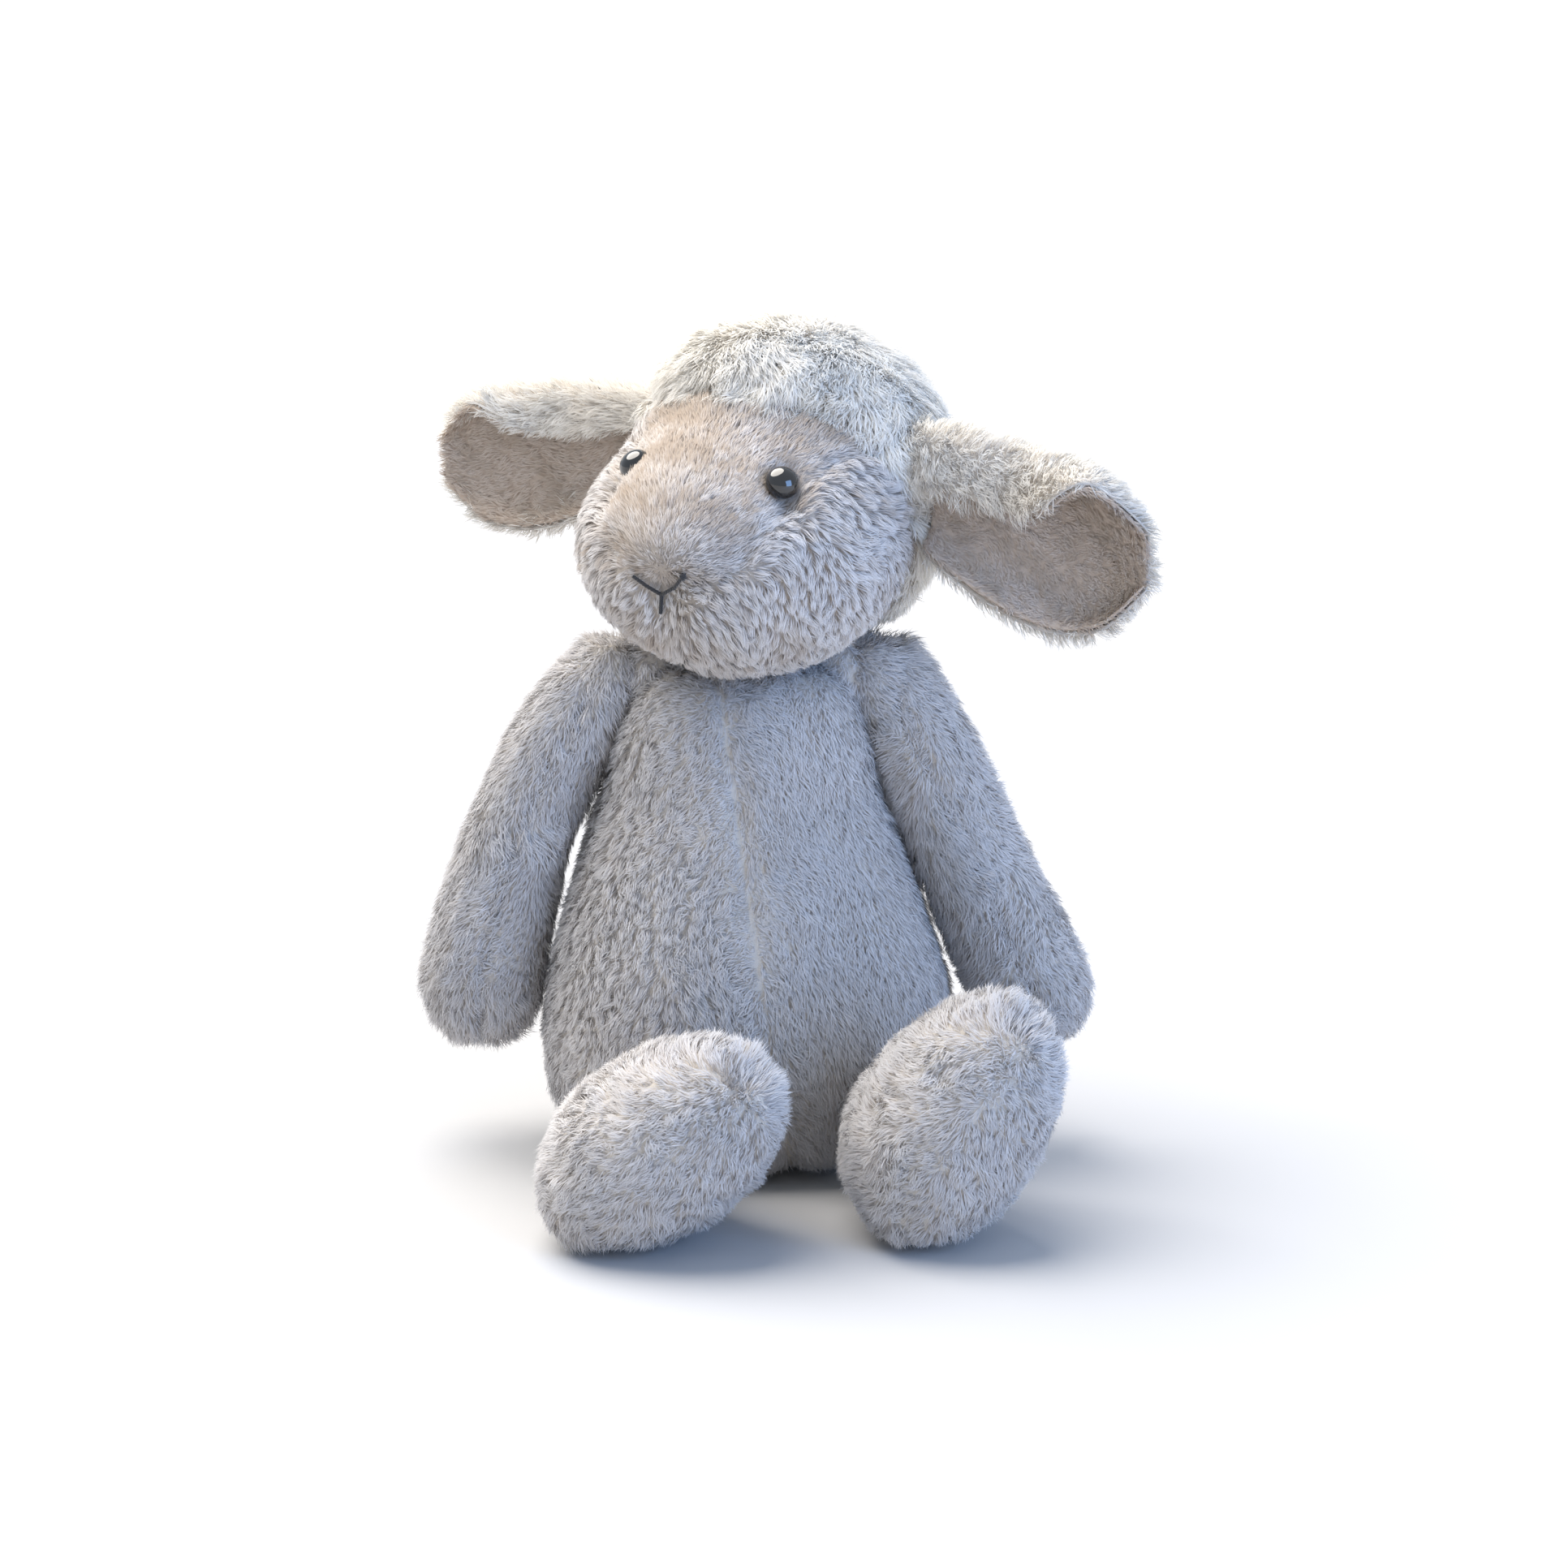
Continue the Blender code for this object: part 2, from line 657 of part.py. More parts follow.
def ear(side, sign, frame):
    """A leaf of pile fabric with a short-pile lining, folded lengthwise over the lining."""
    root = Vector((sign * EAR_ROOT.x, EAR_ROOT.y, EAR_ROOT.z))
    joint = empty("ear_%s_joint" % side, root, frame)
    outward = Vector((math.cos(EAR_SWEEP) * sign, math.sin(EAR_SWEEP), 0))
    forward_way = Vector((math.sin(EAR_SWEEP) * sign, -math.cos(EAR_SWEEP), 0))

    at_root = math.sqrt(CRANIUM.z ** 2 - EAR_ROOT.z ** 2)

    def place_at(offset):
        def place(a, b):
            height, forward = ear_section(side, a, b, offset)
            beside_head = math.sqrt(CRANIUM.z ** 2 - (EAR_ROOT.z + height) ** 2)
            out = EAR_LENGTH * a + (beside_head - at_root) * (1 - a)
            drop = -math.sin(EAR_DROOP) * EAR_LENGTH * a
            return outward * out + forward_way * forward + Vector((0, 0, height + drop))
        return place
    layers = (("outer", 0, PILE), ("lining", FABRIC + EAR_LAYER_GAP, LINING))
    for layer, depth, look in layers:
        name = "ear_%s_%s" % (side, layer)
        panel(name, place_at(depth), place_at(depth + FABRIC), look, joint, 6, 14)


def arm(side, sign):
    shoulder = Vector((sign * SHOULDER.x, SHOULDER.y, SHOULDER.z))
    ring_joint = empty("shoulder_%s_joint" % side, shoulder)
    ring_place = Vector((sign * SHOULDER_RING_X, SHOULDER.y, SHOULDER.z)) - shoulder
    ring_stitching(
        "shoulder_%s_stitching" % side, SHOULDER_RING, SEWING, ring_joint,
        look_along(ring_place, Vector((1, 0, 0))),
    )
    joint = empty("arm_%s_joint" % side, (0, 0, 0), ring_joint)
    levels = [(high, out, *halves) for (high, *halves), out in zip(ARM_LEVELS, ARM_OUT[side])]
    outward = Vector((sign, 0, 0))
    rings = Rings(levels, Vector((0, 0, 1)), outward, Vector((0, sign, 0)))
    for half, turns in (("outer", (-0.25, 0.25)), ("inner", (0.25, 0.75))):
        ring_panel("arm_%s_%s" % (side, half), rings, turns, ARM_RISES, PILE, joint, 5, 12)
    core("arm_%s_stuffing" % side, rings, FILL, joint, segments=10, steps=12)


def leg(side, sign):
    hip = HIP[side]
    splay = Euler((0, 0, LEG_SPLAY[side]))
    ahead = Vector((0, -1, 0))
    twist_joint = empty("hip_%s_joint" % side, hip, None, splay)
    ring_stitching(
        "hip_%s_stitching" % side, HIP_RING, SEWING, twist_joint,
        look_along(-ahead * HIP_RING_BACK, ahead),
    )
    joint = empty("leg_%s_joint" % side, (0, 0, 0), twist_joint)
    lean = TOE_LEAN[side]
    toe_way = Vector((math.cos(lean), 0, math.sin(lean)))
    across_way = ahead.cross(toe_way)
    rings = Rings(LEG_LEVELS, ahead, toe_way, across_way)
    rises = (LEG_START_RISE, SOLE_RISE)
    ring_panel("leg_%s_upper" % side, rings, (-0.25, 0.25), rises, PILE, joint, 7, 9)
    ring_panel("leg_%s_under" % side, rings, (0.25, 0.75), rises, PILE, joint, 7, 9)
    end_cap("foot_%s_sole" % side, rings, (SOLE_RISE + SOLE_GAP_RISE, 1), PILE, joint, 14, 3)
    core("leg_%s_stuffing" % side, rings, FILL, joint, segments=12, steps=12)


def tail():
    joint = empty("tail_joint", TAIL_ROOT)
    levels = [(back, 0, wide, high) for back, wide, high in TAIL_LEVELS]
    rings = Rings(levels, Vector((0, 1, 0)), Vector((0, 0, 1)), Vector((1, 0, 0)))
    end_cap("tail_cover", rings, (TAIL_COVER_RISE, 1), LONG_PILE, joint, 14, 5)
    core("tail_stuffing", rings, FILL, joint, segments=12, steps=8)


clear_scene()
PARTS = new_collection("plush_lamb")
CUTTERS = new_collection("cutters")
PILE = material("cream_pile", CREAM, 0.95)
LONG_PILE = material("long_cream_pile", CREAM, 0.95)
FACE_PILE = material("face_pile", FACE_CREAM, 0.95)
LINING = material("ear_lining", LINING_BEIGE, 0.95)
FILL = material("polyester_fill", FILL_WHITE, 1.0)
POUCH = material("pouch_cloth", FILL_WHITE, 0.9)
BEAD = material("black_bead", BLACK, 0.06)
WASHER = material("washer_plastic", FILL_WHITE, 0.45)
THREAD = material("black_thread", BLACK, 0.7)
SEWING = material("sewing_thread", CREAM, 0.8)

torso()
neck_joint = empty("neck_joint", NECK_SEAM)
ring_stitching("neck_stitching", NECK_RING, SEWING, neck_joint, Matrix.Identity(4))
head_joint = empty(
    "head_joint", NOD_PIVOT - NECK_SEAM, neck_joint, (0, HEAD_ROLL, HEAD_TURN)
)
head_frame = head(head_joint)
for side, sign in SIDES.items():
    ear(side, sign, head_frame)
    arm(side, sign)
    leg(side, sign)
tail()
bpy.context.view_layer.update()
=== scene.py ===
"""The looks of a seated plush lamb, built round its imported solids.

Each stuffed form gets a skin that is drawn over the solids, swelled as sewn cloth and creased at
its seams. A pile of single tapering strands then grows on the skin, combed and tufted by region.
Left and right are as someone facing the lamb sees them, and the lamb faces -Y.
"""

import math

import bmesh
import bpy
import numpy as np
from mathutils import Euler, Matrix, Vector
from mathutils.bvhtree import BVHTree
from mathutils.kdtree import KDTree


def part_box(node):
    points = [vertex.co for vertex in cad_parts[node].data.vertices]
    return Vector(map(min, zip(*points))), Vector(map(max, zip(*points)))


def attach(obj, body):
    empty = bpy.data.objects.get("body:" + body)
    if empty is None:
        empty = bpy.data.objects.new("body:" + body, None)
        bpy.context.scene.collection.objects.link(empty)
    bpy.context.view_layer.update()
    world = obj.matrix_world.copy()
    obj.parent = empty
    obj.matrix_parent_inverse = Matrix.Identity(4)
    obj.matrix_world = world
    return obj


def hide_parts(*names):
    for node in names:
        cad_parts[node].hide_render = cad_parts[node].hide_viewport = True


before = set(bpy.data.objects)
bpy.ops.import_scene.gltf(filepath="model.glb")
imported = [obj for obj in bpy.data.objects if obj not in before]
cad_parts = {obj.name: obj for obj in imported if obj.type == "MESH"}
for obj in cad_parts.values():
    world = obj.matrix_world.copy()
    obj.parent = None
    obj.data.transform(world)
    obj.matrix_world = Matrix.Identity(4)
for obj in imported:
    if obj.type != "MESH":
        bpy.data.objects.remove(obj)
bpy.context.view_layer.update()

MM = 0.001
SIDES = {"left": -1, "right": 1}

# How far the cloth backing stands outside the solids' faces, and a way well outside the lamb
PROUD = 0.6 * MM
FAR = 0.3
# Evening out a mesh: each round draws its points in, then pushes them out again
DRAW_IN = 0.5
PUSH_OUT = -0.52
# The cloth's swelling: frames, pressure, quality, and how heavy, tight and stiff the cloth is
SWELL_FRAMES = 20
SWELL_PRESSURE = 4
SWELL_QUALITY = 4
CLOTH_MASS = 0.15
CLOTH_TIGHTNESS = 12
CLOTH_STIFFNESS = 0.6
REFINE_ROUNDING = 0.6

# The pile: strands to a square millimetre, width of a strand, and how deep its root sits
BODY_DENSITY, FACE_DENSITY, CAP_DENSITY = 4.5, 5, 7.5
TAIL_DENSITY, GATHER_DENSITY = 4, 3
STRAND_WIDTH = 0.24 * MM
STRAND_TAPER = 0.35
TUFT_SIZE = 2.6 * MM
ROOT_DEPTH = 0.4 * MM
# The least and greatest of what varies from tuft to tuft and from strand to strand, as shares
TUFT_LENGTHS = (0.8, 1.15)
STRAND_LENGTHS = (0.75, 1.12)
STRAND_BENDS = (0.85, 1.15)
STRAND_WIDTHS = (0.7, 1.25)
# How far strands stray from the comb: by tuft, at the least, and by strand
TUFT_STRAY = 0.5
LEAST_STRAY = 0.15
STRAND_STRAY = 0.4
STRAND_CURL = 0.3
STRAND_TWIST = 0.25
TUFT_DRAW = 1.5
# How much the tint varies by tuft and by strand
TUFT_TINT = 0.175
STRAND_TINT = 0.12
# A strand is lit by the skin's normal, its own, its comb and a little chance
SKIN_LIGHT, OWN_LIGHT, COMB_LIGHT, CHANCE_LIGHT = 0.72, 0.25, 0.1, 0.1
# Where the lamb rests, pile lies over from this height down, and flat this much lower
PRESSED_BELOW = 5 * MM
PRESSED_OVER = 3 * MM
PRESSED_LEAN, PRESSED_BEND, PRESSED_SHORTER = 1.35, 1.5, 0.5
# A strand rests on the floor where its skin faces no further up than this
RESTING_UP = 0.3


def unit(vectors):
    lengths = np.linalg.norm(vectors, axis=-1, keepdims=True)
    return vectors / np.maximum(lengths, 1e-9)


def between(low, high, share):
    """A value between low and high."""
    return low + (high - low) * share


def ramp(value, start, run):
    """0 up to start, then rising to 1 over a run."""
    return np.clip((value - start) / run, 0, 1)


def near(distance, width):
    """1 at a line or a point, fading to 0 over about a width."""
    return np.exp(-((distance / width) ** 2))


def beyond(distance, softness):
    """0 before a line and 1 beyond it, with a soft change."""
    return 1 / (1 + np.exp(-distance / softness))


def coordinates(mesh):
    flat = np.empty(len(mesh.vertices) * 3)
    mesh.vertices.foreach_get("co", flat)
    return flat.reshape(-1, 3)


def set_coordinates(mesh, points):
    mesh.vertices.foreach_set("co", np.ascontiguousarray(points, float).ravel())
    mesh.update()


def normals(mesh):
    flat = np.empty(len(mesh.vertices) * 3, np.float32)
    mesh.vertex_normals.foreach_get("vector", flat)
    return flat.reshape(-1, 3).astype(float)


def link(obj):
    bpy.context.scene.collection.objects.link(obj)
    return obj


def tree_of(points):
    """A search tree of some points."""
    tree = KDTree(len(points))
    for k, point in enumerate(points):
        tree.insert(point, k)
    tree.balance()
    return tree


class Noise:
    """A smooth field of three values from about -1 to 1, from a few random waves."""

    WAVES = 14
    SPREAD = 1.8

    def __init__(self, seed, size):
        rng = np.random.default_rng(seed)
        self.ways = rng.normal(size=(3, self.WAVES, 3)) * (2 * math.pi / size / self.SPREAD)
        self.phases = rng.uniform(0, 2 * math.pi, (3, self.WAVES))
        self.scale = math.sqrt(2 / self.WAVES)

    def __call__(self, points):
        waves = np.sin(np.einsum("pk,cwk->pcw", points, self.ways) + self.phases)
        return waves.sum(-1) * self.scale


# ---------------------------------------------------------------- skins


def solids_tree(nodes):
    vertices, faces = [], []
    for node in nodes:
        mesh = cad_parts[node].data
        first = len(vertices)
        vertices.extend(v.co.copy() for v in mesh.vertices)
        faces.extend([first + k for k in face.vertices] for face in mesh.polygons)
    return BVHTree.FromPolygons(vertices, faces)


def smooth(mesh, rounds):
    """Evens out a mesh and keeps its size."""
    ends = np.empty(len(mesh.edges) * 2, int)
    mesh.edges.foreach_get("vertices", ends)
    first, second = ends.reshape(-1, 2).T
    points = coordinates(mesh)
    degree = np.bincount(ends, minlength=len(points))[:, None]
    for step in (DRAW_IN, PUSH_OUT) * rounds:
        sums = np.zeros_like(points)
        np.add.at(sums, first, points[second])
        np.add.at(sums, second, points[first])
        points += step * (sums / degree - points)
    set_coordinates(mesh, points)


def skin(name, nodes, line, detail=5, rounds=5, proud=PROUD):
    """A closed skin round some solids, cast on to them from outside towards a middle line."""
    tree = solids_tree(nodes)
    bm = bmesh.new()
    bmesh.ops.create_icosphere(bm, subdivisions=detail, radius=1)
    line = [Vector(point) for point in line]
    axis = (line[-1] - line[0]).normalized() if len(line) > 1 else Vector((0, 0, 1))
    for vert in bm.verts:
        way = vert.co.normalized()
        along = (way.dot(axis) + 1) / 2 * (len(line) - 1)
        first = min(int(along), len(line) - 1)
        last = min(first + 1, len(line) - 1)
        middle = line[first].lerp(line[last], along - first)
        hit = tree.ray_cast(middle + way * FAR, -way)[0]
        vert.co = hit if hit is not None else middle
    bmesh.ops.recalc_face_normals(bm, faces=bm.faces)
    mesh = bpy.data.meshes.new(name)
    bm.to_mesh(mesh)
    bm.free()
    mesh.shade_smooth()
    smooth(mesh, rounds)
    set_coordinates(mesh, coordinates(mesh) + normals(mesh) * proud)
    return link(bpy.data.objects.new(name, mesh))


def swell(obj, reach):
    """Lets the cloth swell under the stuffing's pressure; no point moves further than reach."""
    before = coordinates(obj.data)
    cloth = obj.modifiers.new("cloth", "CLOTH")
    cloth.settings.quality = SWELL_QUALITY
    cloth.settings.mass = CLOTH_MASS
    cloth.settings.tension_stiffness = CLOTH_TIGHTNESS
    cloth.settings.compression_stiffness = CLOTH_TIGHTNESS
    cloth.settings.bending_stiffness = CLOTH_STIFFNESS
    cloth.settings.use_pressure = True
    cloth.settings.uniform_pressure_force = SWELL_PRESSURE
    cloth.settings.effector_weights.gravity = 0
    cloth.collision_settings.use_collision = False
    cloth.point_cache.frame_start = 1
    cloth.point_cache.frame_end = SWELL_FRAMES
    for number in range(1, SWELL_FRAMES + 1):
        bpy.context.scene.frame_set(number)
    graph = bpy.context.evaluated_depsgraph_get()
    swollen = obj.evaluated_get(graph).to_mesh()
    moved = coordinates(swollen) - before
    obj.evaluated_get(graph).to_mesh_clear()
    obj.modifiers.remove(cloth)
    moved -= moved.mean(0)
    length = np.linalg.norm(moved, axis=1, keepdims=True)
    moved *= np.minimum(1, reach / np.maximum(length, 1e-9))
    set_coordinates(obj.data, before + moved)
    bpy.context.scene.frame_set(1)


def refine(obj):
    """One subdivision, applied."""
    bm = bmesh.new()
    bm.from_mesh(obj.data)
    bmesh.ops.subdivide_edges(
        bm, edges=bm.edges, cuts=1, use_grid_fill=True, smooth=REFINE_ROUNDING
    )
    bm.to_mesh(obj.data)
    bm.free()
    obj.data.shade_smooth()


def crease(obj, distance, depth, width):
    """Pulls the skin in along a seam. distance gives each point's distance from the seam."""
    points = coordinates(obj.data)
    pull = depth * near(distance(points), width)
    set_coordinates(obj.data, points - normals(obj.data) * pull[:, None])


def keep_above(obj, height):
    """Flattens the skin's underside at a height."""
    points = coordinates(obj.data)
    points[:, 2] = np.maximum(points[:, 2], height)
    set_coordinates(obj.data, points)


# ---------------------------------------------------------------- pile


class Style:
    """How the pile grows. The arrays have one row for each strand.

    keep: which strands grow; comb: the way they lean; length; lean and bend: how far they lie
    over at the root and at the tip, in radians; tint: 0 pale to 1 deep; stray: how loosely they
    follow the comb; tuft: how much they draw together.
    """

    def __init__(self, count):
        self.keep = np.ones(count, bool)
        self.comb = np.zeros((count, 3))
        self.length = np.full(count, 4.5 * MM)
        self.lean = np.full(count, 0.35)
        self.bend = np.full(count, 1.2)
        self.tint = np.zeros(count)
        self.stray = np.full(count, 0.45)
        self.tuft = np.full(count, 0.35)

    def kept(self):
        """The style of the strands that grow."""
        part = Style(0)
        for name, rows in vars(self).items():
            setattr(part, name, rows[self.keep])
        return part

    def press_flat(self, points, ups):
        """Presses the pile flat where the piece rests on the floor."""
        low = ramp(-points[:, 2], -PRESSED_BELOW, PRESSED_OVER)
        pressed = low * (ups[:, 2] < RESTING_UP)
        self.length *= 1 - PRESSED_SHORTER * pressed
        self.lean = between(self.lean, PRESSED_LEAN, pressed)
        self.bend = between(self.bend, PRESSED_BEND, pressed)


def scatter(mesh, count, rng):
    """Random places on a mesh by area: points, skin normals."""
    mesh.calc_loop_triangles()
    corners = np.empty(len(mesh.loop_triangles) * 3, int)
    mesh.loop_triangles.foreach_get("vertices", corners)
    corners = corners.reshape(-1, 3)
    points, ups = coordinates(mesh), normals(mesh)
    a, b, c = (points[corners[:, k]] for k in range(3))
    area = np.linalg.norm(np.cross(b - a, c - a), axis=1)
    chosen = rng.choice(len(corners), count, p=area / area.sum())
    u, v = rng.random(count), rng.random(count)
    over = u + v > 1
    u[over], v[over] = 1 - u[over], 1 - v[over]
    weights = np.stack([1 - u - v, u, v], 1)[:, :, None]
    picked = corners[chosen]
    return (points[picked] * weights).sum(1), unit((ups[picked] * weights).sum(1))


def bent_lines(roots, ups, comb, length, made, joints, rng):
    """The strands' middle lines from their roots, bent further over towards their tips."""
    line = [roots - ups * ROOT_DEPTH]
    curl = np.cross(ups, comb) * (rng.normal(size=len(roots)) * STRAND_CURL)[:, None]
    for k in range(1, joints + 1):
        share = k / joints
        angle = between(made.lean, made.bend, share) * rng.uniform(*STRAND_BENDS, len(roots))
        way = ups * np.cos(angle)[:, None] + comb * np.sin(angle)[:, None] + curl * share
        line.append(line[-1] + unit(way) * (length / joints)[:, None])
    return line


def draw_together(line, member, tufts, tuft):
    """Draws each tuft's strands together towards their tips."""
    tips = line[-1]
    joints = len(line) - 1
    sums = np.zeros((tufts, 3))
    np.add.at(sums, member, tips)
    meeting = sums / np.maximum(np.bincount(member, minlength=tufts), 1)[:, None]
    pull = (meeting[member] - tips) * tuft[:, None]
    for k in range(1, joints + 1):
        line[k] = line[k] + pull * (k / joints) ** TUFT_DRAW


def ribbon_mesh(name, line, half):
    """One mesh of tapering ribbons, from the strands' middle lines and half widths."""
    joints, count = len(line) - 1, len(half)
    rows = []
    for k in range(joints):
        taper = 1 - STRAND_TAPER * (k / joints) ** 2
        rows.append(line[k] - half * taper)
        rows.append(line[k] + half * taper)
    rows.append(line[joints])
    points = np.stack(rows, 1).reshape(-1, 3)
    firsts = (np.arange(count) * len(rows))[:, None]
    quads = [np.array([2 * k, 2 * k + 1, 2 * k + 3, 2 * k + 2]) for k in range(joints - 1)]
    end = 2 * (joints - 1)
    corners = np.concatenate(quads + [np.array([end, end + 1, end + 2])])
    loops = (firsts + corners[None, :]).ravel()
    sizes = np.tile([4] * (joints - 1) + [3], count)
    starts = np.concatenate([[0], np.cumsum(sizes)[:-1]])
    mesh = bpy.data.meshes.new(name)
    mesh.vertices.add(len(points))
    mesh.vertices.foreach_set("co", points.ravel())
    mesh.loops.add(len(loops))
    mesh.loops.foreach_set("vertex_index", loops.astype(np.int32))
    mesh.polygons.add(len(sizes))
    mesh.polygons.foreach_set("loop_start", starts.astype(np.int32))
    mesh.polygons.foreach_set("loop_total", sizes.astype(np.int32))
    mesh.update(calc_edges=True)
    mesh.polygons.foreach_set("use_smooth", np.ones(len(sizes), bool))
    return mesh


def pile(name, obj, body, per_mm2, style, seed, look, joints=2, width=STRAND_WIDTH,
         tuft_size=TUFT_SIZE):
    """Grows strands on obj. style(points, normals) returns a Style; the strands ride on body."""
    rng = np.random.default_rng(seed)
    area = sum(face.area for face in obj.data.polygons) / MM ** 2
    roots, ups = scatter(obj.data, int(area * per_mm2), rng)
    made = style(roots, ups)
    grown_area = area * made.keep.mean()
    roots, ups, made = roots[made.keep], ups[made.keep], made.kept()
    count = len(roots)

    # Tufts: neighbouring strands share a way to lean and draw together at their tips
    tuft_count = max(4, int(grown_area / (tuft_size / MM) ** 2))
    centres = roots[rng.choice(count, min(tuft_count, count), replace=False)]
    search = tree_of(centres)
    member = np.array([search.find(root)[1] for root in roots])
    tuft_way = rng.normal(size=(len(centres), 3))[member]
    tuft_length = rng.uniform(*TUFT_LENGTHS, len(centres))[member]
    tuft_tint = rng.normal(0, TUFT_TINT, len(centres))[member]

    comb = unit(made.comb) + tuft_way * (TUFT_STRAY * made.stray)[:, None]
    comb += rng.normal(size=(count, 3)) * (LEAST_STRAY + STRAND_STRAY * made.stray)[:, None]
    comb = unit(comb - ups * (comb * ups).sum(1, keepdims=True))
    length = made.length * tuft_length * rng.uniform(*STRAND_LENGTHS, count)
    line = bent_lines(roots, ups, comb, length, made, joints, rng)
    along = unit(line[-1] - roots)
    draw_together(line, member, len(centres), made.tuft)

    # Ribbons that face outwards, turned a little at random
    across = unit(np.cross(along, ups) + rng.normal(size=(count, 3)) * STRAND_TWIST)
    half = across * (width / 2 * rng.uniform(*STRAND_WIDTHS, count))[:, None]
    mesh = ribbon_mesh(name, line, half)

    # Soft light: the strands' normals lean towards the skin's
    facing = np.cross(along, across)
    facing *= np.sign((facing * ups).sum(1, keepdims=True) + 1e-9)
    chance = rng.normal(size=(count, 3)) * CHANCE_LIGHT
    soft = unit(ups * SKIN_LIGHT + facing * OWN_LIGHT + comb * COMB_LIGHT + chance)
    rows = 2 * joints + 1
    mesh.normals_split_custom_set_from_vertices(np.repeat(soft, rows, 0))

    shares = np.arange(joints) / joints
    height = np.tile(np.concatenate([np.repeat(shares, 2), [1.0]]), count)
    tint = np.repeat(made.tint + tuft_tint + rng.normal(0, STRAND_TINT, count), rows)
    for label, values in (("height", height), ("tint", tint)):
        attribute = mesh.attributes.new(label, "FLOAT", "POINT")
        attribute.data.foreach_set("value", values.astype(np.float32))
    mesh.materials.append(look)
    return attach(link(bpy.data.objects.new(name, mesh)), body)


# ---------------------------------------------------------------- materials


def new_material(name):
    made = bpy.data.materials.new(name)
    made.use_nodes = True
    tree = made.node_tree
    return made, tree, tree.nodes["Principled BSDF"]


def attribute(tree, name):
    """A value that the strands carry."""
    made = tree.nodes.new("ShaderNodeAttribute")
    made.attribute_name = name
    return made.outputs["Fac"]


def noise(tree, scale, detail=2):
    made = tree.nodes.new("ShaderNodeTexNoise")
    made.inputs["Scale"].default_value = scale
    made.inputs["Detail"].default_value = detail
    return made.outputs["Fac"]


def mixed(tree, factor, first, second):
    """A colour between first and second, each a colour or another node's output."""
    made = tree.nodes.new("ShaderNodeMix")
    made.data_type = "RGBA"
    tree.links.new(factor, made.inputs["Factor"])
    for socket, colour in (("A", first), ("B", second)):
        if isinstance(colour, tuple):
            made.inputs[socket].default_value = (*colour, 1)
        else:
            tree.links.new(colour, made.inputs[socket])
    return made.outputs["Result"]


def vary_roughness(tree, shader, source, low, high):
    made = tree.nodes.new("ShaderNodeMapRange")
    made.inputs["To Min"].default_value = low
    made.inputs["To Max"].default_value = high
    tree.links.new(source, made.inputs["Value"])
    tree.links.new(made.outputs["Result"], shader.inputs["Roughness"])


def add_bump(tree, shader, height, strength, distance):
    made = tree.nodes.new("ShaderNodeBump")
    made.inputs["Strength"].default_value = strength
    made.inputs["Distance"].default_value = distance
    tree.links.new(height, made.inputs["Height"])
    tree.links.new(made.outputs["Normal"], shader.inputs["Normal"])


def pile_material(name, root, pale, deep, glow=0.25):
    """Strands: painted shade at the root for the shade deep in the pile, pale or deeper by tuft at
    the tip, and lit through a little.
    """
    made, tree, shader = new_material(name)
    links = tree.links
    # Painted shade: the root colour, darker than the tips, fades out over the lower three quarters
    # of each strand, standing in for the shade among the strands
    root_shade_fade = tree.nodes.new("ShaderNodeMapRange")
    root_shade_fade.inputs["From Max"].default_value = 0.75
    links.new(attribute(tree, "height"), root_shade_fade.inputs["Value"])
    tips = mixed(tree, attribute(tree, "tint"), pale, deep)
    whole = mixed(tree, root_shade_fade.outputs["Result"], root, tips)
    links.new(whole, shader.inputs["Base Color"])
    vary_roughness(tree, shader, noise(tree, scale=400), low=0.7, high=0.95)
    shader.inputs["Specular IOR Level"].default_value = 0.25
    shader.inputs["Sheen Weight"].default_value = 0.25
    shader.inputs["Sheen Roughness"].default_value = 0.5
    through = tree.nodes.new("ShaderNodeBsdfTranslucent")
    links.new(whole, through.inputs["Color"])
    both = tree.nodes.new("ShaderNodeMixShader")
    both.inputs["Fac"].default_value = glow
    links.new(shader.outputs["BSDF"], both.inputs[1])
    links.new(through.outputs["BSDF"], both.inputs[2])
    links.new(both.outputs["Shader"], tree.nodes["Material Output"].inputs["Surface"])
    return made


def cloth_material(name, pale, deep):
    """The knitted backing that shows between the strands: fine loops, lighter and darker."""
    made, tree, shader = new_material(name)
    loops = tree.nodes.new("ShaderNodeTexVoronoi")
    loops.inputs["Scale"].default_value = 900
    shade = loops.outputs["Distance"]
    tree.links.new(mixed(tree, shade, deep, pale), shader.inputs["Base Color"])
    vary_roughness(tree, shader, shade, low=0.85, high=1.0)
    add_bump(tree, shader, shade, strength=0.5, distance=0.3 * MM)
    return made


def bead_material():
    """Polished black plastic with faint handling marks."""
    made, tree, shader = new_material("bead_black")
    marks = noise(tree, scale=1500, detail=6)
    vary_roughness(tree, shader, marks, low=0.03, high=0.12)
    add_bump(tree, shader, marks, strength=0.02, distance=0.05 * MM)
    shader.inputs["Base Color"].default_value = (*BEAD_BLACK, 1)
    shader.inputs["Coat Weight"].default_value = 1
    shader.inputs["Coat Roughness"].default_value = 0.02
    return made


def thread_material(name, pale, deep):
    """Twisted thread: fine fibres, a slight sheen."""
    made, tree, shader = new_material(name)
    fibres = noise(tree, scale=2500)
    tree.links.new(mixed(tree, fibres, deep, pale), shader.inputs["Base Color"])
    vary_roughness(tree, shader, fibres, low=0.5, high=0.85)
    add_bump(tree, shader, fibres, strength=0.4, distance=0.1 * MM)
    shader.inputs["Sheen Weight"].default_value = 0.3
    return made
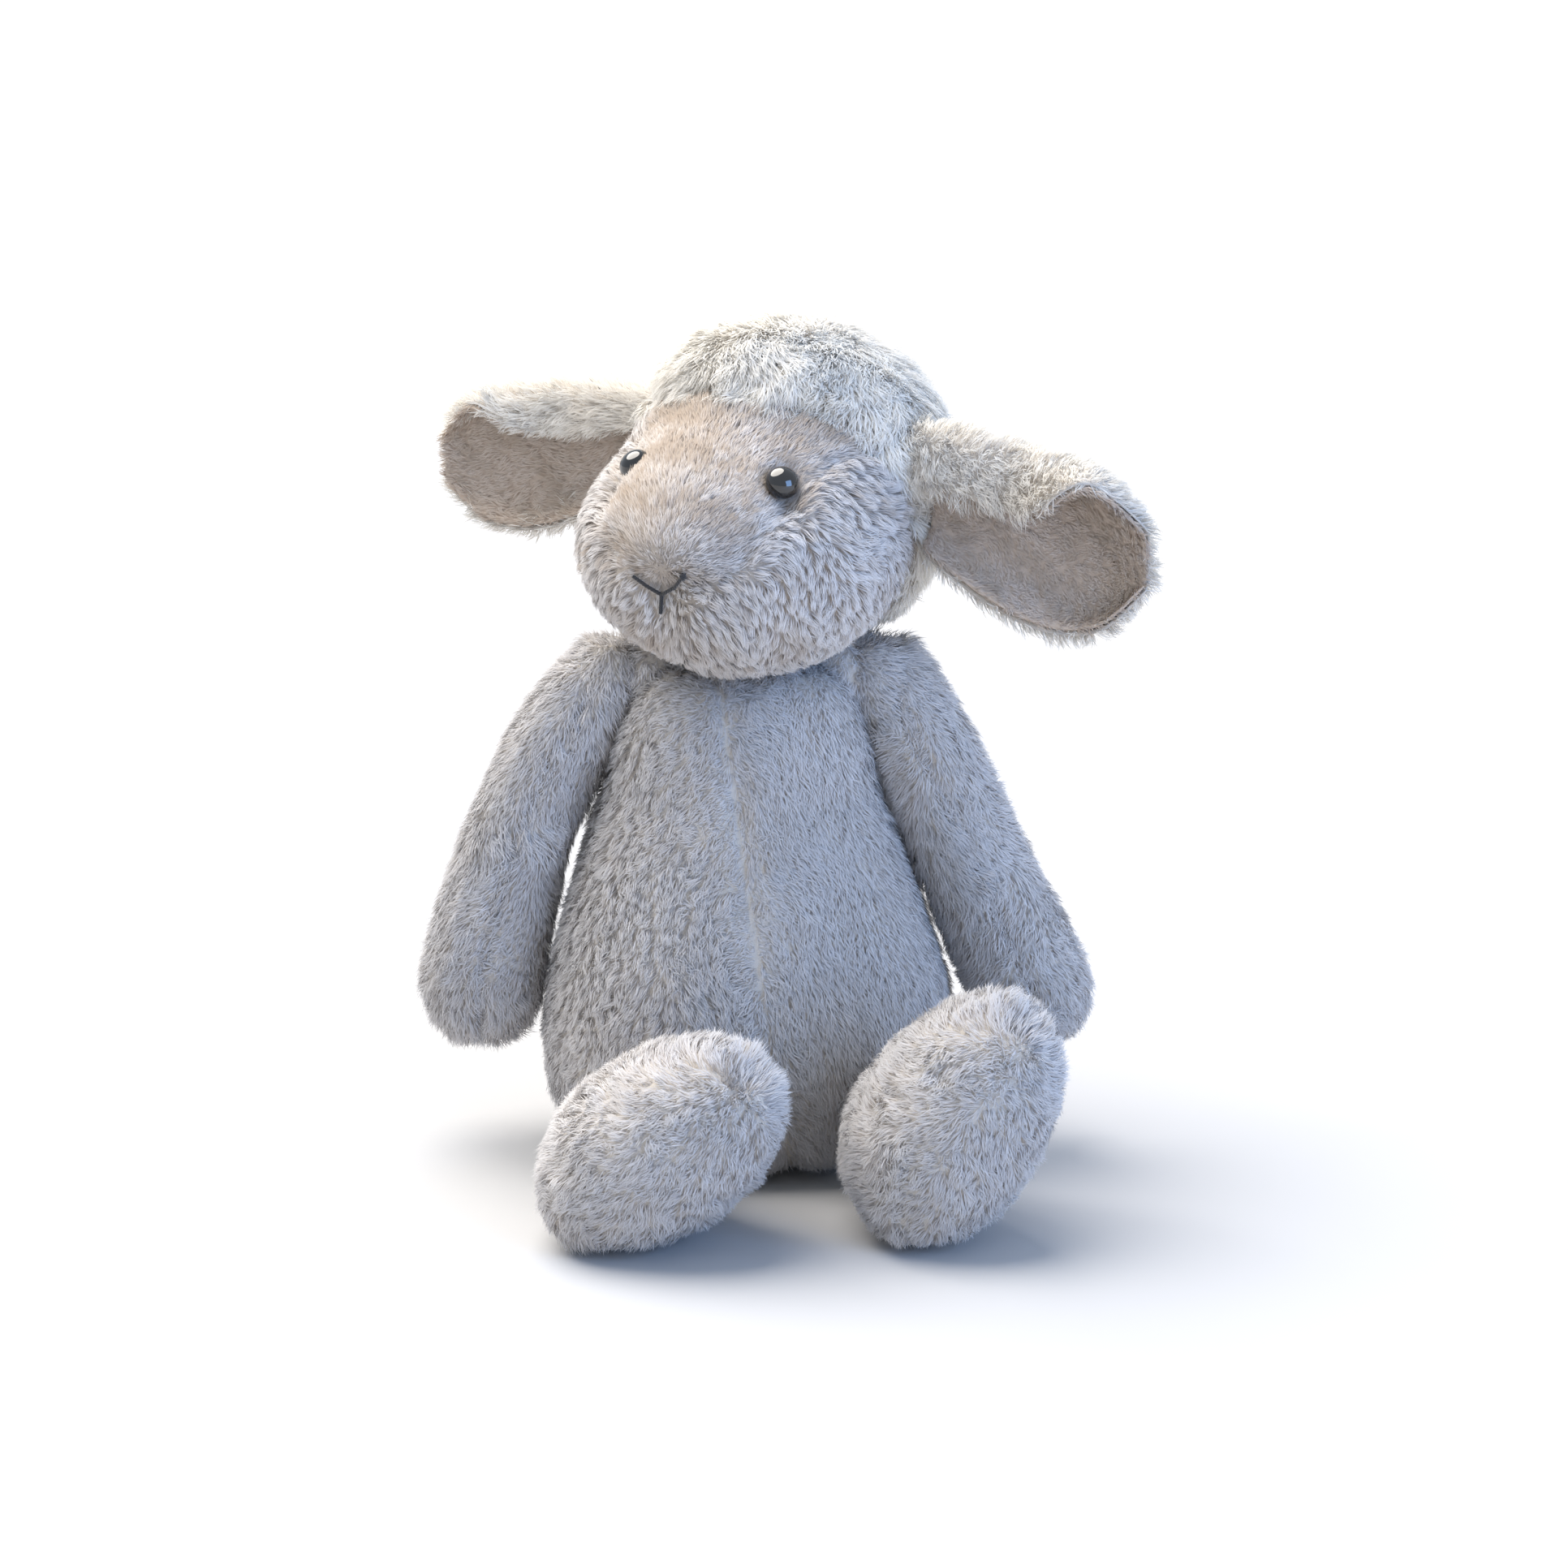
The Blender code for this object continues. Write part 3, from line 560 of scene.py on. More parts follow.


# Each pile's colours: at the root, which holds painted shade deep in the pile, at a pale tip and at
# a deep tip
CREAM_PILE = ((0.93, 0.89, 0.84), (0.97, 0.95, 0.91), (0.86, 0.82, 0.76))
# The body's off-white pile is painted a darker, bluish grey: painted shade and the blue of the fill
# light
BODY_PILE_PAINTED_SHADE = ((0.53, 0.49, 0.47), (0.73, 0.715, 0.72), (0.62, 0.60, 0.60))
# The face's pile is a beige cloth, painted darker still as shade from light that falls from above
FACE_PILE_TONE_AND_SHADE = ((0.48, 0.42, 0.38), (0.80, 0.775, 0.765), (0.50, 0.41, 0.33))
LINING_PILE = ((0.56, 0.43, 0.34), (0.72, 0.64, 0.57), (0.54, 0.46, 0.38))
# Each cloth's and thread's colours: pale and deep
BACKING = ((0.70, 0.65, 0.59), (0.56, 0.51, 0.46))
FACE_BACKING = ((0.54, 0.48, 0.42), (0.42, 0.36, 0.31))
CAP_BACKING = ((0.93, 0.90, 0.85), (0.84, 0.80, 0.74))
LINING_BACKING = ((0.66, 0.56, 0.47), (0.54, 0.43, 0.35))
THREAD_BLACK = ((0.03, 0.028, 0.03), (0.004, 0.004, 0.005))
BEAD_BLACK = (0.006, 0.006, 0.007)

# The body's pile material: painted shade makes it a darker, bluer grey than the off-white cloth
body_pile_painted_shade = pile_material("body_pile_painted_shade", *BODY_PILE_PAINTED_SHADE)
cap_pile = pile_material("cap_pile", *CREAM_PILE, glow=0.5)
# The face's pile material: its own beige, darkened with painted shade
face_pile = pile_material("face_pile", *FACE_PILE_TONE_AND_SHADE)
lining_pile = pile_material("lining_pile", *LINING_PILE)
backing_cloth = cloth_material("backing_cloth", *BACKING)
face_cloth = cloth_material("face_cloth", *FACE_BACKING)
cap_cloth = cloth_material("cap_cloth", *CAP_BACKING)
lining_cloth = cloth_material("lining_cloth", *LINING_BACKING)
bead_black = bead_material()
black_thread = thread_material("black_thread", *THREAD_BLACK)


def dress(obj, look, body, nodes):
    """A finished skin: its material, the body it rides on and the solids it stands for."""
    obj.data.materials.clear()
    obj.data.materials.append(look)
    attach(obj, body)
    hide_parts(*nodes)


# ---------------------------------------------------------------- torso

TORSO_NODES = ["torso_back_right", "torso_back_left", "torso_front_left", "torso_front_right",
               "seat_panel", "torso_stuffing"]
TORSO_LINE = [(0, 0, 24 * MM), (0, 0, 60 * MM), (0, 0, 98 * MM)]
# The top of the torso, from this height over this much more, goes out, forward and up
TOP_START, TOP_RUN, TOP_HALF = 88 * MM, 18 * MM, 14 * MM
TOP_OUT, TOP_FORWARD, TOP_UP = 4 * MM, 2 * MM, 5.5 * MM
# The front seam crosses the middle at this height, and leans to the left above it
SEAM_CROSSING, SEAM_SLOPE = 72 * MM, 0.145
TORSO_FLOOR = 0.4 * MM


def from_centre_seam(points):
    """How far to the right of the seam down the middle, which leans to the left up the chest."""
    wander = np.where(points[:, 1] < 0, (SEAM_CROSSING - points[:, 2]) * SEAM_SLOPE, 0)
    return points[:, 0] - wander


def side_seam(points):
    return np.abs(points[:, 1])


def torso():
    obj = skin("torso_skin", TORSO_NODES, TORSO_LINE)
    points = coordinates(obj.data)
    height = ramp(points[:, 2], TOP_START, TOP_RUN)
    sideways = np.clip(points[:, 0] / TOP_HALF, -1, 1)
    points[:, 0] += height * sideways * TOP_OUT
    points[:, 1] -= height * TOP_FORWARD
    points[:, 2] += height * TOP_UP
    set_coordinates(obj.data, points)
    swell(obj, reach=1.2 * MM)
    refine(obj)
    crease(obj, lambda points: np.abs(from_centre_seam(points)), depth=1.0 * MM, width=2.5 * MM)
    crease(obj, side_seam, depth=0.8 * MM, width=2 * MM)
    keep_above(obj, TORSO_FLOOR)
    dress(obj, backing_cloth, "torso", TORSO_NODES + ["bean_pouch"])
    waves = Noise(seed=11, size=26 * MM)

    def style(points, ups):
        """Combed down, away from the seam, and looser on the left."""
        made = Style(len(points))
        wave = waves(points)
        aside = from_centre_seam(points)
        left = beyond(-aside, softness=6 * MM)
        made.comb[:, 2] = -1
        made.comb[:, 0] = 1.1 * (np.sign(aside) * near(aside, 7 * MM))
        made.comb += wave * 0.25
        made.stray = 0.2 + 0.45 * left
        made.length = (4.6 + 0.5 * wave[:, 0]) * MM
        made.length *= 1 - 0.15 * near(aside, 2.2 * MM)
        made.lean = 0.3 + 0.1 * (1 - left)
        made.tuft = 0.1 + 0.35 * left
        made.tint = 0.25 + 0.2 * wave[:, 1]
        made.press_flat(points, ups)
        return made

    pile("torso_pile", obj, "torso", BODY_DENSITY, style, 21, body_pile_painted_shade)


# ---------------------------------------------------------------- head

HEAD_NODES = ["face_gusset", "cheek_right", "cheek_left", "head_cap", "head_back", "head_stuffing"]
# The head's own frame: its middle, and how many degrees it is turned and rolled on the neck
HEAD_CENTRE = Vector((7.6, 4, 154.8)) * MM
HEAD_TURN, HEAD_ROLL = -30, 2
HEAD_ROTATION = Euler((0, math.radians(HEAD_ROLL), math.radians(HEAD_TURN)))
HEAD_MATRIX = Matrix.Translation(HEAD_CENTRE) @ HEAD_ROTATION.to_matrix().to_4x4()
# In that frame: the nose, the way to the right eye, and the crown that the cap is combed from
NOSE = Vector((0, -54, -10)) * MM
EYE_AIM = Vector((18.8, -32.5, 11.0))
CROWN = np.array((0, 14, 36)) * MM
# The gusset's half width and its place up the face at the nose and at the brow, in degrees
GUSSET_NOSE, GUSSET_BROW = 9, 55
NOSE_ANGLE, BROW_ANGLE = -10, 56
GUSSET_ROUND = 0.35
# The cap's front edge: its place up the face, and how much higher it is at this far aside
CAP_FRONT, CAP_FRONT_RISE, CAP_FRONT_SIDE = 52, 10, 45
# There is no gusset below the first angle; below the second, a place is on the nape, and its
# angle is counted on over the top of the head
CHIN_ANGLE, NAPE_ANGLE = -13, -110
# The head's half size at the cap, at the cheeks and at the eyes turns angles into lengths
CAP_RADIUS, CHEEK_RADIUS, BROW_RADIUS = 37 * MM, 45 * MM, 42 * MM
# A distance from a seam where there is none
WELL_OUTSIDE = 20 * MM
# The cap is puffed up by this much, over this run back from its front
CAP_PUFF, CAP_PUFF_RUN, CAP_PUFF_HEIGHT = 4.5 * MM, 14 * MM, 25 * MM
# The pile is shorter round the nose, round the eyes and at the stitch under the nose
NOSE_CLIP, EYE_CLIP, EYE_BARE = 11 * MM, 5.5 * MM, 2.8 * MM
STITCH_ANGLE, STITCH_HIGH, STITCH_WIDE = -15, 5, 9
# The cap's pile gets shorter towards the nape, from this far below the middle
NAPE_START, NAPE_RUN = 18 * MM, 12 * MM


def head_frame(points):
    """Points in the head's own frame."""
    inverse = np.array(HEAD_MATRIX.inverted())
    return points @ inverse[:3, :3].T + inverse[:3, 3]


def head_ways(ways):
    """Directions of the head's own frame, turned into the row frame."""
    return ways @ np.array(HEAD_MATRIX)[:3, :3].T


def head_angles(local):
    """Degrees up from straight ahead, round the ear line, and degrees aside."""
    distance = np.linalg.norm(local, axis=1)
    aside = np.degrees(np.arcsin(np.clip(local[:, 0] / distance, -1, 1)))
    around = np.degrees(np.arctan2(local[:, 2], -local[:, 1]))
    return around, aside


def cap_front(aside):
    """Where the long pile of the cap begins, in degrees up from straight ahead."""
    return CAP_FRONT + CAP_FRONT_RISE * np.minimum(1, (aside / CAP_FRONT_SIDE) ** 2)


def gusset_half(around):
    """Half the width of the gusset, in degrees aside."""
    share = ramp(around, NOSE_ANGLE, BROW_ANGLE - NOSE_ANGLE)
    rounded = GUSSET_ROUND * share ** 0.25 + (1 - GUSSET_ROUND) * share
    return between(GUSSET_NOSE, GUSSET_BROW, rounded)


def past_cap_front(local):
    """How far behind the cap's front seam, in metres; negative on the face."""
    around, aside = head_angles(local)
    around = np.where(around < NAPE_ANGLE, around + 360, around)
    return np.radians(around - cap_front(aside)) * CAP_RADIUS * np.cos(np.radians(aside))


def from_gusset_seam(local):
    """How far outside the gusset's side seams, in metres; negative on the gusset."""
    around, aside = head_angles(local)
    distance = np.radians(np.abs(aside) - gusset_half(around)) * CHEEK_RADIUS
    return np.where(around < CHIN_ANGLE, WELL_OUTSIDE, distance)


def from_eye(local, sign):
    """Distance over the face from an eye's middle."""
    aim = np.array(Vector((sign * EYE_AIM.x, EYE_AIM.y, EYE_AIM.z)).normalized())
    return np.arccos(np.clip(unit(local) @ aim, -1, 1)) * BROW_RADIUS


def line_cap(obj):
    """Gives the skin under the cap's pile its paler cloth."""
    obj.data.materials.append(cap_cloth)
    middles = np.empty(len(obj.data.polygons) * 3)
    obj.data.polygons.foreach_get("center", middles)
    under_cap = past_cap_front(head_frame(middles.reshape(-1, 3))) > 0
    obj.data.polygons.foreach_set("material_index", under_cap.astype(np.int32))


def head():
    obj = skin("head_skin", HEAD_NODES, [HEAD_CENTRE])
    points = coordinates(obj.data)
    local = head_frame(points)
    on_cap = ramp(past_cap_front(local), 0, CAP_PUFF_RUN)
    on_cap *= np.clip(local[:, 2] / CAP_PUFF_HEIGHT + 0.5, 0, 1)
    set_coordinates(obj.data, points + normals(obj.data) * (on_cap * CAP_PUFF)[:, None])
    swell(obj, reach=1.0 * MM)
    refine(obj)
    crease(obj, lambda points: past_cap_front(head_frame(points)), 1.4 * MM, 2.2 * MM)
    crease(obj, lambda points: from_gusset_seam(head_frame(points)), 0.9 * MM, 1.8 * MM)
    for sign in SIDES.values():
        crease(obj, lambda points: from_eye(head_frame(points), sign), 1.2 * MM, 5 * MM)
    dress(obj, face_cloth, "head", HEAD_NODES)
    line_cap(obj)
    waves = Noise(seed=12, size=18 * MM)
    curls = Noise(seed=13, size=9 * MM)

    def face_style(points, ups):
        """Combed out from the nose; longer and looser, and down, on the cheeks."""
        made = Style(len(points))
        local = head_frame(points)
        around, aside = head_angles(local)
        from_nose = local - np.array(NOSE)
        cheek = beyond(from_gusset_seam(local), softness=2 * MM)
        down = np.zeros_like(local)
        down[:, 2] = -1
        comb = unit(from_nose) * (1 - 0.45 * cheek)[:, None] + down * (0.8 * cheek)[:, None]
        wave = waves(points)
        made.comb = head_ways(comb) + wave * (0.12 + 0.22 * cheek)[:, None]
        near_nose = near(np.linalg.norm(from_nose, axis=1), NOSE_CLIP)
        made.length = (3.6 + 1.6 * cheek + 0.4 * wave[:, 0] - 1.2 * near_nose) * MM
        made.stray = 0.16 + 0.22 * cheek
        made.tuft = 0.35 + 0.35 * cheek
        made.lean[:] = 0.45
        made.bend[:] = 1.25
        made.tint = 0.6 + 0.2 * wave[:, 1] - 0.55 * cheek
        for sign in SIDES.values():
            apart = from_eye(local, sign)
            made.length *= 1 - 0.5 * near(apart, EYE_CLIP)
            made.keep &= apart > EYE_BARE
        at_stitch = near(around - STITCH_ANGLE, STITCH_HIGH) * near(aside, STITCH_WIDE)
        made.length *= 1 - 0.45 * at_stitch
        made.keep &= past_cap_front(local) < 0
        return made

    def cap_style(points, ups):
        """Long strands that lie over each other, combed out from the crown."""
        made = Style(len(points))
        local = head_frame(points)
        wave, curl = waves(points), curls(points)
        made.comb = head_ways(unit(local - CROWN)) + wave * 0.3 + curl * 0.2
        made.length = (7.0 + 0.4 * wave[:, 0] + 0.3 * curl[:, 1]) * MM
        made.length *= 1 - 0.4 * ramp(-local[:, 2], NAPE_START, NAPE_RUN)
        made.stray[:] = 0.25
        made.tuft[:] = 0.15
        made.lean = 0.5 + 0.1 * curl[:, 0]
        made.bend = 1.2 + 0.15 * wave[:, 0]
        made.tint = 0.05 + 0.1 * wave[:, 1]
        made.keep &= past_cap_front(local) >= 0
        return made

    pile("face_pile_strands", obj, "head", FACE_DENSITY, face_style, 22, face_pile,
         tuft_size=2.0 * MM)
    pile("cap_pile_strands", obj, "head", CAP_DENSITY, cap_style, 23, cap_pile, joints=3,
         width=0.32 * MM, tuft_size=3.0 * MM)


# ---------------------------------------------------------------- limbs

# How thick a slice of a limb is looked at for its middle, as a share of its length
SLICE_SHARE = 0.07
ARM_LINE = (0.14, 0.35, 0.55, 0.75, 0.88)
ARM_PROUD = 1.2 * MM
# The inner side of each arm fills out towards the body below this height
ARM_FILL = {"left": 1 * MM, "right": 2.6 * MM}
ARM_FILL_TOP, ARM_FILL_RUN = 108 * MM, 20 * MM
HAND_RADIUS = 16 * MM
LEG_LINE = (0.42, 0.56, 0.7, 0.85)
LEG_FLOOR = 0.6 * MM
# The sole's seam lies this far behind the foot's front
SOLE_SEAM = 11 * MM
# The toe is where the foot reaches furthest outward, up and forward
TOE_WAY = np.array((0.5, -0.5, 0.8))
TOE_PILE = 11 * MM
TAIL_NODES = ["tail_cover", "tail_stuffing"]
TAIL_LINE = [(0, 51 * MM, 28 * MM), (0, 56 * MM, 28 * MM)]
# The tail's root is drawn in towards the body, in front of this place
TAIL_ROOT, TAIL_ROOT_RUN, TAIL_DRAW = 54 * MM, 8 * MM, 4 * MM


def node_line(nodes, axis, shares):
    """Middle points of some solids at shares of their length along an axis of the row frame."""
    points = np.concatenate([coordinates(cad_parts[node].data) for node in nodes])
    along = points[:, axis]
    low, high = along.min(), along.max()
    line = []
    for share in shares:
        place = between(low, high, share)
        nearby = points[np.abs(along - place) < (high - low) * SLICE_SHARE]
        line.append(Vector((nearby.min(0) + nearby.max(0)) / 2))
        line[-1][axis] = place
    return line


def arm(side, sign):
    nodes = ["arm_%s_%s" % (side, part) for part in ("outer", "inner", "stuffing")]
    line = node_line(nodes, 2, ARM_LINE)
    obj = skin("arm_%s_skin" % side, nodes, line, proud=ARM_PROUD)
    points = coordinates(obj.data)
    inward = np.clip(-sign * normals(obj.data)[:, 0], 0, 1)
    low = ramp(-points[:, 2], -ARM_FILL_TOP, ARM_FILL_RUN)
    points[:, 0] -= sign * inward * low * ARM_FILL[side]
    set_coordinates(obj.data, points)
    swell(obj, reach=0.9 * MM)
    refine(obj)

    def front_seam(points):
        heights = np.array([point[2] for point in line])
        middle = np.interp(points[:, 2], heights, [point[0] for point in line])
        ahead = points[:, 1] < 0
        return np.where(ahead, np.abs(points[:, 0] - middle), WELL_OUTSIDE)

    crease(obj, front_seam, depth=0.9 * MM, width=1.8 * MM)
    dress(obj, backing_cloth, "arm_%s" % side, nodes)
    waves = Noise(seed=30 + sign, size=20 * MM)
    hand = np.array(line[0])

    def style(points, ups):
        """Combed down and a little outward, loose at the hand."""
        made = Style(len(points))
        wave = waves(points)
        made.comb[:, 2] = -1
        made.comb[:, 0] = 0.3 * sign
        made.comb += wave * 0.4
        made.length = (4.8 + 0.4 * wave[:, 0]) * MM
        made.stray[:] = 0.3
        made.tuft[:] = 0.2
        made.tint = 0.25 + 0.2 * wave[:, 1]
        made.stray[np.linalg.norm(points - hand, axis=1) < HAND_RADIUS] = 0.6
        return made

    pile("arm_%s_pile" % side, obj, "arm_%s" % side, BODY_DENSITY, style, 40 + sign, body_pile_painted_shade)


def leg(side, sign):
    nodes = ["leg_%s_upper" % side, "leg_%s_under" % side, "foot_%s_sole" % side,
             "leg_%s_stuffing" % side]
    obj = skin("leg_%s_skin" % side, nodes, node_line(nodes, 1, LEG_LINE))
    swell(obj, reach=0.9 * MM)
    refine(obj)
    front = coordinates(obj.data)[:, 1].min()

    def behind_sole_seam(points):
        return points[:, 1] - front - SOLE_SEAM

    crease(obj, behind_sole_seam, depth=0.5 * MM, width=2 * MM)
    points = coordinates(obj.data)
    toe = points[(points @ TOE_WAY).argmax()]
    crease(obj, lambda points: np.linalg.norm(points - toe, axis=1), depth=3 * MM, width=4 * MM)
    keep_above(obj, LEG_FLOOR)
    dress(obj, backing_cloth, "leg_%s" % side, nodes)
    middle = coordinates(obj.data).mean(0)
    waves = Noise(seed=50 + sign, size=16 * MM)

    def style(points, ups):
        """Combed out round the leg, out from the toe on the sole, upright at the toe."""
        made = Style(len(points))
        wave = waves(points)
        sole = beyond(-behind_sole_seam(points), softness=1.5 * MM)
        from_toe = points - toe
        made.comb = unit(points - middle) * np.array([1, 0, 1]) + np.array([0, 0.4, -0.3])
        made.comb = made.comb * (1 - sole)[:, None] + unit(from_toe) * sole[:, None]
        made.comb += wave * 0.35
        at_toe = near(np.linalg.norm(from_toe, axis=1), TOE_PILE)
        made.length = (4.6 - 0.5 * sole + 0.4 * wave[:, 0] + 1.6 * at_toe) * MM
        made.lean = 0.4 - 0.3 * at_toe
        made.bend = 1.15 - 0.35 * at_toe
        made.stray = 0.45 + 0.15 * sole
        made.tint = 0.25 + 0.25 * wave[:, 1]
        made.press_flat(points, ups)
        return made

    pile("leg_%s_pile" % side, obj, "leg_%s" % side, BODY_DENSITY, style, 60 + sign, body_pile_painted_shade)


def tail():
    obj = skin("tail_skin", TAIL_NODES, TAIL_LINE, detail=4)
    swell(obj, reach=0.5 * MM)
    points = coordinates(obj.data)
    points[:, 1] -= ramp(-points[:, 1], -TAIL_ROOT, TAIL_ROOT_RUN) * TAIL_DRAW
    set_coordinates(obj.data, points)
    dress(obj, backing_cloth, "tail", TAIL_NODES)

    def style(points, ups):
        """Long and loose, combed back; none where the tail meets the body."""
        made = Style(len(points))
        made.comb[:, 1] = 1
        made.length[:] = 6.5 * MM
        made.stray[:] = 0.7
        made.keep = ups[:, 1] > -0.75
        return made

    pile("tail_pile", obj, "tail", TAIL_DENSITY, style, 70, cap_pile, joints=3)


# ---------------------------------------------------------------- ears

WELD = 0.02 * MM
# The way out along the right ear, in the head's frame
EAR_WAY = (1, 0.0, -0.23)
# How much longer the pile stands on top of each ear, in millimetres
EAR_TOP_FLUFF = {"left": 3.0, "right": 0.0}
# Within this distance of the lining, the outer sheet has no pile on the side that faces it
EAR_FOLD = 2.4 * MM


def leaf(name, node):
    """A smooth copy of one of an ear's folded sheets."""
    bm = bmesh.new()
    bm.from_mesh(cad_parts[node].data)
    bmesh.ops.remove_doubles(bm, verts=bm.verts, dist=WELD)
    mesh = bpy.data.meshes.new(name)
    bm.to_mesh(mesh)
    bm.free()
    mesh.shade_smooth()
    obj = link(bpy.data.objects.new(name, mesh))
    rounding = obj.modifiers.new("round", "SUBSURF")
    rounding.levels = rounding.render_levels = 2
    graph = bpy.context.evaluated_depsgraph_get()
    final = bpy.data.meshes.new_from_object(obj.evaluated_get(graph))
    obj.modifiers.clear()
    obj.data = final
    final.shade_smooth()
    return obj


def towards_nearest(points, ups, tree):
    """How squarely each point faces the nearest one in a tree, and how far away that is."""
    ways = np.array([np.array(tree.find(point)[0]) for point in points]) - points
    return (unit(ways) * ups).sum(1), np.linalg.norm(ways, axis=1)


def ear(side, sign):
    body = "ear_%s" % side
    outer_node, lining_node = body + "_outer", body + "_lining"
    outer = leaf(body + "_leaf", outer_node)
    lining = leaf(body + "_lining_leaf", lining_node)
    outer_tree = tree_of(coordinates(outer.data))
    lining_tree = tree_of(coordinates(lining.data))
    outward = head_ways(np.array([EAR_WAY]) * (sign, 1, 1))[0]
    dress(outer, backing_cloth, body, [outer_node])
    dress(lining, lining_cloth, body, [lining_node])
    waves = Noise(seed=80 + sign, size=14 * MM)

    def outer_style(points, ups):
        """Combed along the ear, standing up on top; none between the two sheets."""
        made = Style(len(points))
        wave = waves(points)
        made.comb = np.tile(outward, (len(points), 1)) + wave * 0.4
        made.comb[:, 2] -= 0.3
        on_top = np.clip(ups[:, 2], 0, 1)
        made.length = (4.8 + 0.7 * wave[:, 0] + EAR_TOP_FLUFF[side] * on_top) * MM
        made.lean = 0.35 - 0.2 * on_top
        made.bend = 1.2 - 0.4 * on_top
        made.stray[:] = 0.5
        made.tint = 0.2 + 0.2 * wave[:, 1]
        facing, apart = towards_nearest(points, ups, lining_tree)
        made.keep = ~((facing > 0.5) & (apart < EAR_FOLD))
        return made

    def lining_style(points, ups):
        """Short, combed along the ear; none on the side that faces the outer sheet."""
        made = Style(len(points))
        wave = waves(points)
        made.comb = np.tile(outward, (len(points), 1)) + wave * 0.25
        made.length[:] = 3.0 * MM
        made.stray[:] = 0.4
        made.lean[:] = 0.5
        made.tint = 0.3 + 0.3 * wave[:, 1]
        facing, _ = towards_nearest(points, ups, outer_tree)
        made.keep = facing < 0.5
        return made

    pile(body + "_pile", outer, body, BODY_DENSITY, outer_style, 90 + sign, cap_pile, joints=3)
    pile(body + "_lining_pile", lining, body, FACE_DENSITY, lining_style, 95 + sign, lining_pile)


# ---------------------------------------------------------------- eyes, nose, seams

BEAD_RADIUS = 3.9 * MM
BEAD_FLATNESS = 0.86
# How far each bead's middle lies behind the front of its solid
BEAD_DEPTH = {"left": 4.6 * MM, "right": 3.3 * MM}
PLIED_STEPS = 60
# Each ply's radius, and its distance from the thread's middle line, as shares of the thread's
PLY_RADIUS, PLY_OFFSET = 0.62, 0.5
PLY_START = np.array([0.3, 0.2, 1.0])
THREAD_RADIUS = 0.42 * MM
KNOT_RADIUS = 0.4 * MM
# The knot's coil: radians and places from one point to the next, and its radius
COIL_TURN, COIL_POINTS, COIL_RADIUS = 2.4, 9, 0.6
# The stitches lie on the pile, this far outside the skin
STITCH_LIFT = 1.6 * MM
# The V's corners and the stem, in degrees up from straight ahead and degrees aside
NOSE_CORNERS = ((-11.5, -9), (-13.5, -5.5), (-15.8, -1.8), (-13, 2.5), (-9, 6))
STEM_STEP, STEM_POINTS = 1.1, 5
# The gathers' half sizes in millimetres
SHOULDER_GATHER = (9, 10, 10)
HIP_GATHER = (11, 8, 11)
NECK_GATHER = (19, 16, 7)


def on_head(obj, up, aside):
    """The place over the head's skin at some degrees up and aside, just outside its cloth."""
    tree = BVHTree.FromPolygons(
        [v.co.copy() for v in obj.data.vertices], [p.vertices[:] for p in obj.data.polygons]
    )
    up, aside = math.radians(up), math.radians(aside)
    ahead = math.cos(aside)
    way = Vector((math.sin(aside), -ahead * math.cos(up), ahead * math.sin(up)))
    aim = (HEAD_MATRIX.to_3x3() @ way).normalized()
    return tree.ray_cast(HEAD_CENTRE + aim * FAR, -aim)[0] + aim * STITCH_LIFT


def eye(side):
    """A polished bead, a little flatter than a ball, with a rim that sinks into the pile."""
    solid = coordinates(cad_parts["eye_%s" % side].data)
    washer = coordinates(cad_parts["eye_washer_%s" % side].data).mean(0)
    pole = solid[np.linalg.norm(solid - washer, axis=1).argmax()]
    aim = Vector(pole - washer).normalized()
    bpy.ops.mesh.primitive_uv_sphere_add(segments=40, ring_count=24, radius=BEAD_RADIUS)
    bead = bpy.context.object
    bead.name = "eye_%s_bead" % side
    bead.data.shade_smooth()
    bead.scale = (1, 1, BEAD_FLATNESS)
    bead.rotation_euler = aim.to_track_quat("Z", "Y").to_euler()
    bead.location = Vector(pole) - aim * BEAD_DEPTH[side]
    bead.data.materials.append(bead_black)
    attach(bead, "head")
    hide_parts("eye_%s" % side, "eye_washer_%s" % side)


def plied(name, points, radius, plies, turns):
    """A plied black thread on the head: plies that wind round a line through some points."""
    curve = bpy.data.curves.new(name, "CURVE")
    curve.dimensions = "3D"
    curve.bevel_depth = radius * PLY_RADIUS
    curve.bevel_resolution = 3
    curve.use_fill_caps = True
    rows = np.array(points)
    places = np.linspace(0, len(rows) - 1, PLIED_STEPS)
    line = np.stack([np.interp(places, np.arange(len(rows)), rows[:, k]) for k in range(3)], 1)
    along = unit(np.gradient(line, axis=0))
    side = unit(np.cross(along, PLY_START))
    up = np.cross(side, along)
    for ply in range(plies):
        angle = 2 * math.pi * (turns * np.linspace(0, 1, PLIED_STEPS) + ply / plies)
        ring = side * np.cos(angle)[:, None] + up * np.sin(angle)[:, None]
        wound = line + ring * radius * PLY_OFFSET
        spline = curve.splines.new("POLY")
        spline.points.add(PLIED_STEPS - 1)
        spline.points.foreach_set("co", np.hstack([wound, np.ones((PLIED_STEPS, 1))]).ravel())
    curve.materials.append(black_thread)
    return link(bpy.data.objects.new(name, curve))


